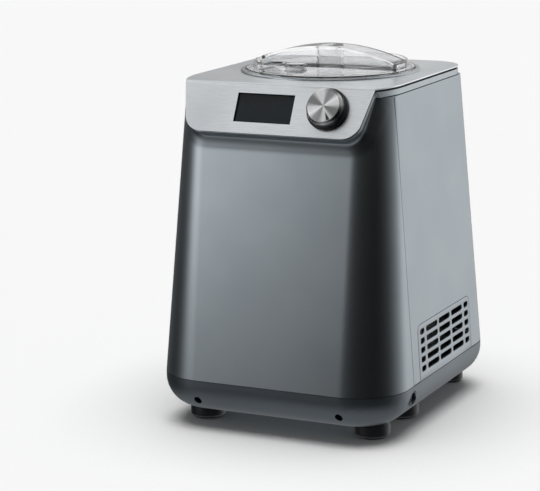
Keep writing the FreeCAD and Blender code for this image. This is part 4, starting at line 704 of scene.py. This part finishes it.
def light_tent():
    """A dome that only reflections see: soft boxes to the left and behind, black cloth to the right."""
    work = bmesh.new()
    bmesh.ops.create_uvsphere(work, u_segments=64, v_segments=32, radius=TENT_RADIUS)
    tent = from_bmesh("light_tent", work)
    for ray in ("camera", "diffuse", "transmission", "volume_scatter", "shadow"):
        setattr(tent, "visible_" + ray, False)
    material = bpy.data.materials.new("light_tent")
    tree = empty_tree(material)
    where = put(tree, "ShaderNodeTexCoord").outputs["Object"]
    unit = put(tree, "ShaderNodeVectorMath", {0: where}, operation="NORMALIZE")
    axes = put(tree, "ShaderNodeSeparateXYZ", {"Vector": unit.outputs["Vector"]}).outputs
    front = put(tree, "ShaderNodeMath", {0: axes["Y"], 1: -1.0}, operation="MULTIPLY")
    bearing = put(tree, "ShaderNodeMath", {0: axes["X"], 1: front.outputs[0]}, operation="ARCTAN2")
    rise = put(tree, "ShaderNodeMath", {0: axes["Z"]}, operation="ARCSINE")

    def spread(value, start, end):
        node = put(tree, "ShaderNodeMapRange", {"Value": value, "From Min": start, "From Max": end})
        return node.outputs["Result"]

    def beyond(start, end):
        """Grows from 0 to 1 between two heights in degrees."""
        return spread(height, share_of(start, 90), share_of(end, 90))

    around = spread(bearing.outputs[0], -math.pi, math.pi)
    height = spread(rise.outputs[0], -math.pi / 2, math.pi / 2)
    # Brightness round the horizon, by degrees to the right of the front.
    band = greys(tree, around, 180, (-180, 0.5), (-120, 0.1), (-58, 0.02), (-46, 1.35), (-34, 1.4),
                 (-13, 0.02), (62, 0.0), (84, 0.07), (118, 0.35), (137, 1.0), (148, 0.9), (180, 0.5))
    # The left box stands off the floor; behind, the light reaches down to it.
    left = greys(tree, height, 90, (-18, 0.07), (0, 0.16), (18, 1.0), (28, 0.9), (42, 0.33), (90, 0.33))
    rear = greys(tree, height, 90, (-60, 0.2), (-25, 0.5), (-4, 0.7), (14, 0.75), (28, 0.7), (90, 0.7))
    fade = mixed(tree, spread(axes["Y"], -0.1, 0.3), left, rear)
    level = mixed(tree, 1.0, band, fade, "MULTIPLY")
    # Higher up a pale band runs round the tent, darkest to the right of the front.
    upper = greys(tree, around, 180, (-180, 0.4), (-60, 0.42), (-10, 0.3), (20, 0.1), (90, 0.12),
                  (125, 0.5), (180, 0.4))
    level = mixed(tree, beyond(32, 44), level, upper)
    # Well below the horizon it is pale paper.
    level = mixed(tree, beyond(-22, -42), level, (0.25, 0.25, 0.25, 1))
    # Overhead the tent is dark, which shows as the dark line along the plate's fold.
    level = mixed(tree, beyond(58, 72), level, (0.06, 0.06, 0.06, 1))
    glow = put(tree, "ShaderNodeEmission", {"Color": level, "Strength": TENT_GLOW})
    put(tree, "ShaderNodeOutputMaterial", {"Surface": glow.outputs["Emission"]})
    tent.data.materials.append(material)
    return tent


# ------------ Operators ------------
class BuildHousing(bpy.types.Operator):
    """Front panel with its brow, side panels and rear panel"""
    bl_idname = "maker.housing"
    bl_label = "Housing"

    def execute(self, context):
        front = front_skin("front_panel", PANEL_WALL, settings().brow_blend)
        finished(front, "machine", "housing", "front_housing")
        for node in ("side_panel_right", "side_panel_left", "rear_panel"):
            finished(softened(node, settings().corner_round), "machine", "housing", node)
        return {"FINISHED"}


class BuildGrilles(bpy.types.Operator):
    """Ventilation grilles in the side panels"""
    bl_idname = "maker.grilles"
    bl_label = "Side grilles"

    def execute(self, context):
        sizes = settings()
        front, rear, bottom, top, corner = -62.5, 74.5, 49.5, 102.5, 7.0
        # Where each column of slots starts and ends, and the height of the uppermost row.
        columns = [(-56.5, -46), (-41, -12), (-8, 21), (25.5, 54.5), (59.5, 70.5)]
        row_height = 95.1
        # The cutters reach this far to both sides of the panel.
        panel_x, reach = 121, 8
        for side, name in ((1, "right"), (-1, "left")):
            outline = [(front, bottom), (rear, bottom)]
            for centre, start in ((rear - corner, 0), (front + corner, math.pi / 2)):
                for step in range(9):
                    turn = start + step / 8 * math.pi / 2
                    outline.append((centre + corner * math.cos(turn), top - corner + corner * math.sin(turn)))
            points = [Vector((side * (tapered(z, *HALF_WIDTH) - depth), y, z)) * MM
                      for depth in (0, PANEL_WALL) for y, z in outline]
            count = len(outline)
            faces = [tuple(range(count)), tuple(range(2 * count - 1, count - 1, -1))]
            faces += [(i, (i + 1) % count, (i + 1) % count + count, i + count) for i in range(count)]
            panel = outward(mesh_object("grille_" + name, points, faces))
            middles = [Vector(((a + b) / 2, row_height, 0)) * MM for a, b in columns]
            marks = mesh_object("columns_" + name, middles, [])
            length = marks.data.attributes.new("slot_length", "FLOAT", "POINT")
            length.data.foreach_set("value", np.array([(b - a) * MM for a, b in columns], np.float32))
            run_geometry(panel, grille_tree(), {
                "Slot Height": sizes.slot_height, "Row Pitch": sizes.slot_pitch, "Rows": sizes.slot_rows,
                "Depth": 2 * reach * MM, "Start": (side * panel_x - reach) * MM, "Corner": 2.2 * MM,
                "Columns": marks, "Material": finish_of("housing")})
            bpy.data.objects.remove(marks)
            round_corners(panel, 0.35, 2, 50)
            finished(smooth(bake(panel)), "machine", "housing", "side_grille_" + name)
        return {"FINISHED"}


class BuildBase(bpy.types.Operator):
    """Base tray, its plugs and feet"""
    bl_idname = "maker.base"
    bl_label = "Base"

    def execute(self, context):
        finished(softened("base_tray", 0.5), "machine", "base", "base_tray")
        foot = lathe("foot", [(4.5, 2), (16, 2), (17, 3.4), (17, 12.6), (16.2, 13.6), (16.2, 19), (4.5, 19)],
                     {1: 0.4, 2: 0.8, 3: 0.4, 4: 0.3}, 64)
        pad = lathe("pad", [(0, 0), (14, 0), (14, 1.9), (0, 1.9)], {1: 0.5}, 64)
        plug = lathe("plug", [(0, 0), (7.5, 0), (7.5, 7.4), (6.9, 8.2), (6.1, 8.2), (5.7, 7.4), (5.7, 3.4),
                              (0, 3.4)], {2: 0.3, 3: 0.3, 4: 0.3, 5: 0.3}, 64)
        under = [((x, y, 0), UP, (scale, scale, 1)) for x, y, scale in FOOT_PLACES]
        beside = [((side * 115.6, -80, 37.5), (side, 0, 0), PLAIN) for side in SIDES]
        for name, shape, places, slot, node in (("feet_set", foot, under, "feet_black", "feet"),
                                                ("foot_pads_set", pad, under, "pad_rubber", "foot_pads"),
                                                ("side_plug_set", plug, beside, "base", "side_plugs")):
            finished(copies(name, shape, places, slot), "machine", slot, node)
        return {"FINISHED"}


class BuildScrews(bpy.types.Operator):
    """Case screws and foot screws with cross recesses"""
    bl_idname = "maker.screws"
    bl_label = "Screws"

    def execute(self, context):
        case = [((side * 73, -129.4, 29), (0, 1, 0), PLAIN) for side in SIDES]
        case += [((side * 69, tapered(z, *REAR_Y) + 1.9, z), (0, -1, 0), PLAIN)
                 for side in SIDES for z in (64, 190, 306)]
        under = [((x, y, 3.4), UP, PLAIN) for x, y, scale in FOOT_PLACES]
        # The last four numbers are the radius and height of the head, then those of the shank.
        for name, node, places, head, height, shank, length in (
                ("case_screw_set", "case_screws", case, 3.2, 1.4, 1.6, 13),
                ("foot_screw_set", "foot_screws", under, 4.0, 2.5, 2.0, 12.6)):
            # The screw's shank points along Z and its head faces the other way.
            screw = lathe("screw", [(0, 0), (head, 0), (head, height), (shank, height),
                                    (shank, height + length), (0, height + length)], {1: 0.5}, 32)
            cross = bmesh.new()
            for along, across in ((head * 1.1, 0.7), (0.7, head * 1.1)):
                shape = bmesh.ops.create_cube(cross, size=1.0)
                bmesh.ops.scale(cross, vec=Vector((along, across, 1.4)) * MM, verts=shape["verts"])
            tool = from_bmesh("cross", cross)
            carve = screw.modifiers.new("Recess", "BOOLEAN")
            carve.object, carve.operation, carve.use_self = tool, "DIFFERENCE", True
            bake(screw)
            bpy.data.objects.remove(tool)
            finished(copies(name, screw, places, "screw"), "machine", "zinc_steel", node, finish="screw")
        return {"FINISHED"}


class BuildTop(bpy.types.Operator):
    """Steel top plate, its gasket, the collar below and the ring round the bowl"""
    bl_idname = "maker.top"
    bl_label = "Top plate and collar"

    def execute(self, context):
        finished(softened("top_plate", 0.45, 3), "machine", "steel_plate", "top_plate")
        finished(softened("plate_gasket", 0.2), "machine", "gasket_black", "plate_gasket")
        finished(softened("top_frame", 0.6), "machine", "collar", "top_frame")
        profile = [(79, 327.4), (83.3, 327.4), (83.3, 330.1), (87, 330.1), (87, 330.8), (85.6, 331.8),
                   (82.5, 331.8), (82.5, 329.1), (79, 329.1)]
        ring = lathe("trim_ring_turned", profile, {3: 0.2, 4: 0.4, 5: 0.6, 6: 0.3}, 160,
                     Matrix.Translation((0, BOWL_Y * MM, 0)))
        finished(smooth(ring, 40), "machine", "ring_metal", "trim_ring")
        return {"FINISHED"}


class BuildLid(bpy.types.Operator):
    """Clear lid and its refill cap"""
    bl_idname = "maker.lid"
    bl_label = "Lid"

    def execute(self, context):
        finished(softened("lid", 0.5, 3), "lid", "clear_lid", "lid")
        profile = [(0, 338.2), (0, 335.2), (6.8, 335.2), (6.8, 331.4), (8.1, 331.4), (8.1, 335), (11, 335),
                   (11, 336), (8.25, 337.4)]
        cap = lathe("refill_cap_turned", profile, {3: 0.3, 4: 0.3, 6: 0.3, 7: 0.4, 8: 1.5}, 64,
                    Matrix.Translation(Vector((-24, -15.5, 0)) * MM))
        finished(smooth(cap), "refill_cap", "clear_lid", "refill_cap")
        return {"FINISHED"}


class BuildKnob(bpy.types.Operator):
    """Spun metal knob and its black skirt"""
    bl_idname = "maker.knob"
    bl_label = "Knob"

    def execute(self, context):
        spot = on_fascia(54.4, 22)
        profile = [(3.02, 4.05), (17.5, 4.05), (17.5, 10), (15.5, 12), (0, 12), (0, 9), (3.02, 9)]
        cap = lathe("knob_turned", profile, {1: 0.3, 2: 0.5, 3: 0.5}, 128, spot)
        layer = cap.data.uv_layers.new(name="Turned")
        back = spot.inverted()
        whole = 2 * math.pi
        for polygon in cap.data.polygons:
            centre = back @ polygon.center
            middle = math.atan2(centre.y, centre.x)
            for index in polygon.loop_indices:
                point = back @ cap.data.vertices[cap.data.loops[index].vertex_index].co
                flat = math.hypot(point.x, point.y)
                angle = math.atan2(point.y, point.x) if flat > 1e-7 else middle
                angle -= whole * round((angle - middle) / whole)
                layer.data[index].uv = (angle / whole, (flat + abs(point.z)) / 0.03)
        finished(smooth(cap, 30), "knob", "knob_metal", "knob_cap")
        # A pointer let into the spun face, towards the lower right, as a black inlay whose black is painted
        # shade of a groove.
        aim = spot @ Matrix.Rotation(math.radians(-62), 4, "Z")
        corners = [(6.5, 0), (14.9, -1.8), (14.9, 1.8)]
        points = [aim @ (Vector((x, y, z)) * MM) for z in (11.7, 12.08) for x, y in corners]
        shaded_pointer = mesh_object("knob_pointer", points,
                              [(0, 2, 1), (3, 4, 5), (0, 1, 4, 3), (1, 2, 5, 4), (2, 0, 3, 5)])
        finished(outward(shaded_pointer), "knob", "knob_black")
        skirt = lathe("knob_skirt_turned", [(5.2, 1.2), (20, 1.2), (20, 3), (18.8, 4), (5.2, 4)],
                      {1: 0.3, 2: 0.4, 3: 0.4}, 96, spot)
        finished(smooth(skirt), "knob", "knob_black", "knob_skirt")
        return {"FINISHED"}


class BuildDisplay(bpy.types.Operator):
    """Display window behind the fascia"""
    bl_idname = "maker.display"
    bl_label = "Display"

    def execute(self, context):
        finished(softened("display_window", 0.3), "machine", "display_glass", "display_window")
        return {"FINISHED"}


class FinishFrame(bpy.types.Operator):
    """Gives every mechanical part that stays as designed its own finish"""
    bl_idname = "maker.frame"
    bl_label = "Mechanical parts"

    def execute(self, context):
        for part in frame["record"]["subparts"]:
            paint(NODES[part["node"]], part["material_slot"])
        return {"FINISHED"}


class BuildStage(bpy.types.Operator):
    """Floor, lights, surroundings and camera"""
    bl_idname = "maker.stage"
    bl_label = "Stage"

    def execute(self, context):
        scene = bpy.context.scene
        scene.view_settings.view_transform = "Standard"
        floor = mesh_object("floor", [(-40, -40, 0), (40, -40, 0), (40, 40, 0), (-40, 40, 0)], [(0, 1, 2, 3)])
        material, tree, body, where = start_material("pale_paper_floor", Roughness=0.9,
                                                    Specular_IOR_Level=0.0)
        tint(tree, body, noise(tree, where, 4), (0.3, "#f7f7f7"), (0.7, "#f9f9f9"))
        floor.data.materials.append(material)
        floor.visible_glossy = False
        scene.world = bpy.data.worlds.new("Studio")
        tree = empty_tree(scene.world)
        # The sky lights surfaces softly, and looks white where it is seen through the clear lid.
        rays = put(tree, "ShaderNodeLightPath")
        power = put(tree, "ShaderNodeMapRange", {"Value": rays.outputs["Is Diffuse Ray"], "To Min": 1.0,
                                                 "To Max": 0.2})
        sky = put(tree, "ShaderNodeBackground", {"Color": (1, 1, 1, 1), "Strength": power.outputs["Result"]})
        put(tree, "ShaderNodeOutputWorld", {"Surface": sky.outputs["Background"]})
        light_tent()
        lamp = bpy.data.lights.new("overhead_diffuser", "SUN")
        # Together with the sky this lights open floor to just under white.
        lamp.energy, lamp.angle = 0.8 * math.pi, math.radians(55)
        new_object("overhead_diffuser", lamp)
        sizes = settings()
        a, e, roll = sizes.azimuth, sizes.elevation, sizes.roll
        back = Vector((math.sin(a) * math.cos(e), -math.cos(a) * math.cos(e), math.sin(e)))
        right = Vector((math.cos(a), math.sin(a), 0))
        up = back.cross(right)
        across = math.cos(roll) * right + math.sin(roll) * up
        upward = -math.sin(roll) * right + math.cos(roll) * up
        camera = new_object("camera", bpy.data.cameras.new("camera"))
        camera.data.lens, camera.data.sensor_width = sizes.lens, 36
        camera.data.clip_start, camera.data.clip_end = 0.05, 100
        spot = Vector((0.8153, -1.8177, 0.5847))
        turn = Matrix((across, upward, back)).transposed().to_4x4()
        camera.matrix_world = Matrix.Translation(spot) @ turn
        scene.camera = camera
        return {"FINISHED"}


OPERATORS = (BuildStage, FinishFrame, BuildHousing, BuildGrilles, BuildBase, BuildScrews, BuildTop, BuildLid,
             BuildKnob, BuildDisplay)


class MakerPanel(bpy.types.Panel):
    """Lists the pieces in the sidebar"""
    bl_idname = "VIEW3D_PT_maker"
    bl_label = "Ice cream maker"
    bl_space_type = "VIEW_3D"
    bl_region_type = "UI"
    bl_category = "Ice cream maker"

    def draw(self, context):
        for name in MakerSettings.__annotations__:
            self.layout.prop(context.scene.maker, name)
        for operator in OPERATORS:
            self.layout.operator(operator.bl_idname)


def register():
    for item in (MakerSettings, *OPERATORS, MakerPanel):
        bpy.utils.register_class(item)
    bpy.types.Scene.maker = bpy.props.PointerProperty(type=MakerSettings)


def unregister():
    del bpy.types.Scene.maker
    for item in reversed((MakerSettings, *OPERATORS, MakerPanel)):
        bpy.utils.unregister_class(item)


def main():
    register()
    for operator in OPERATORS:
        group, name = operator.bl_idname.split(".")
        getattr(getattr(bpy.ops, group), name)()


if __name__ == "__main__":
    main()
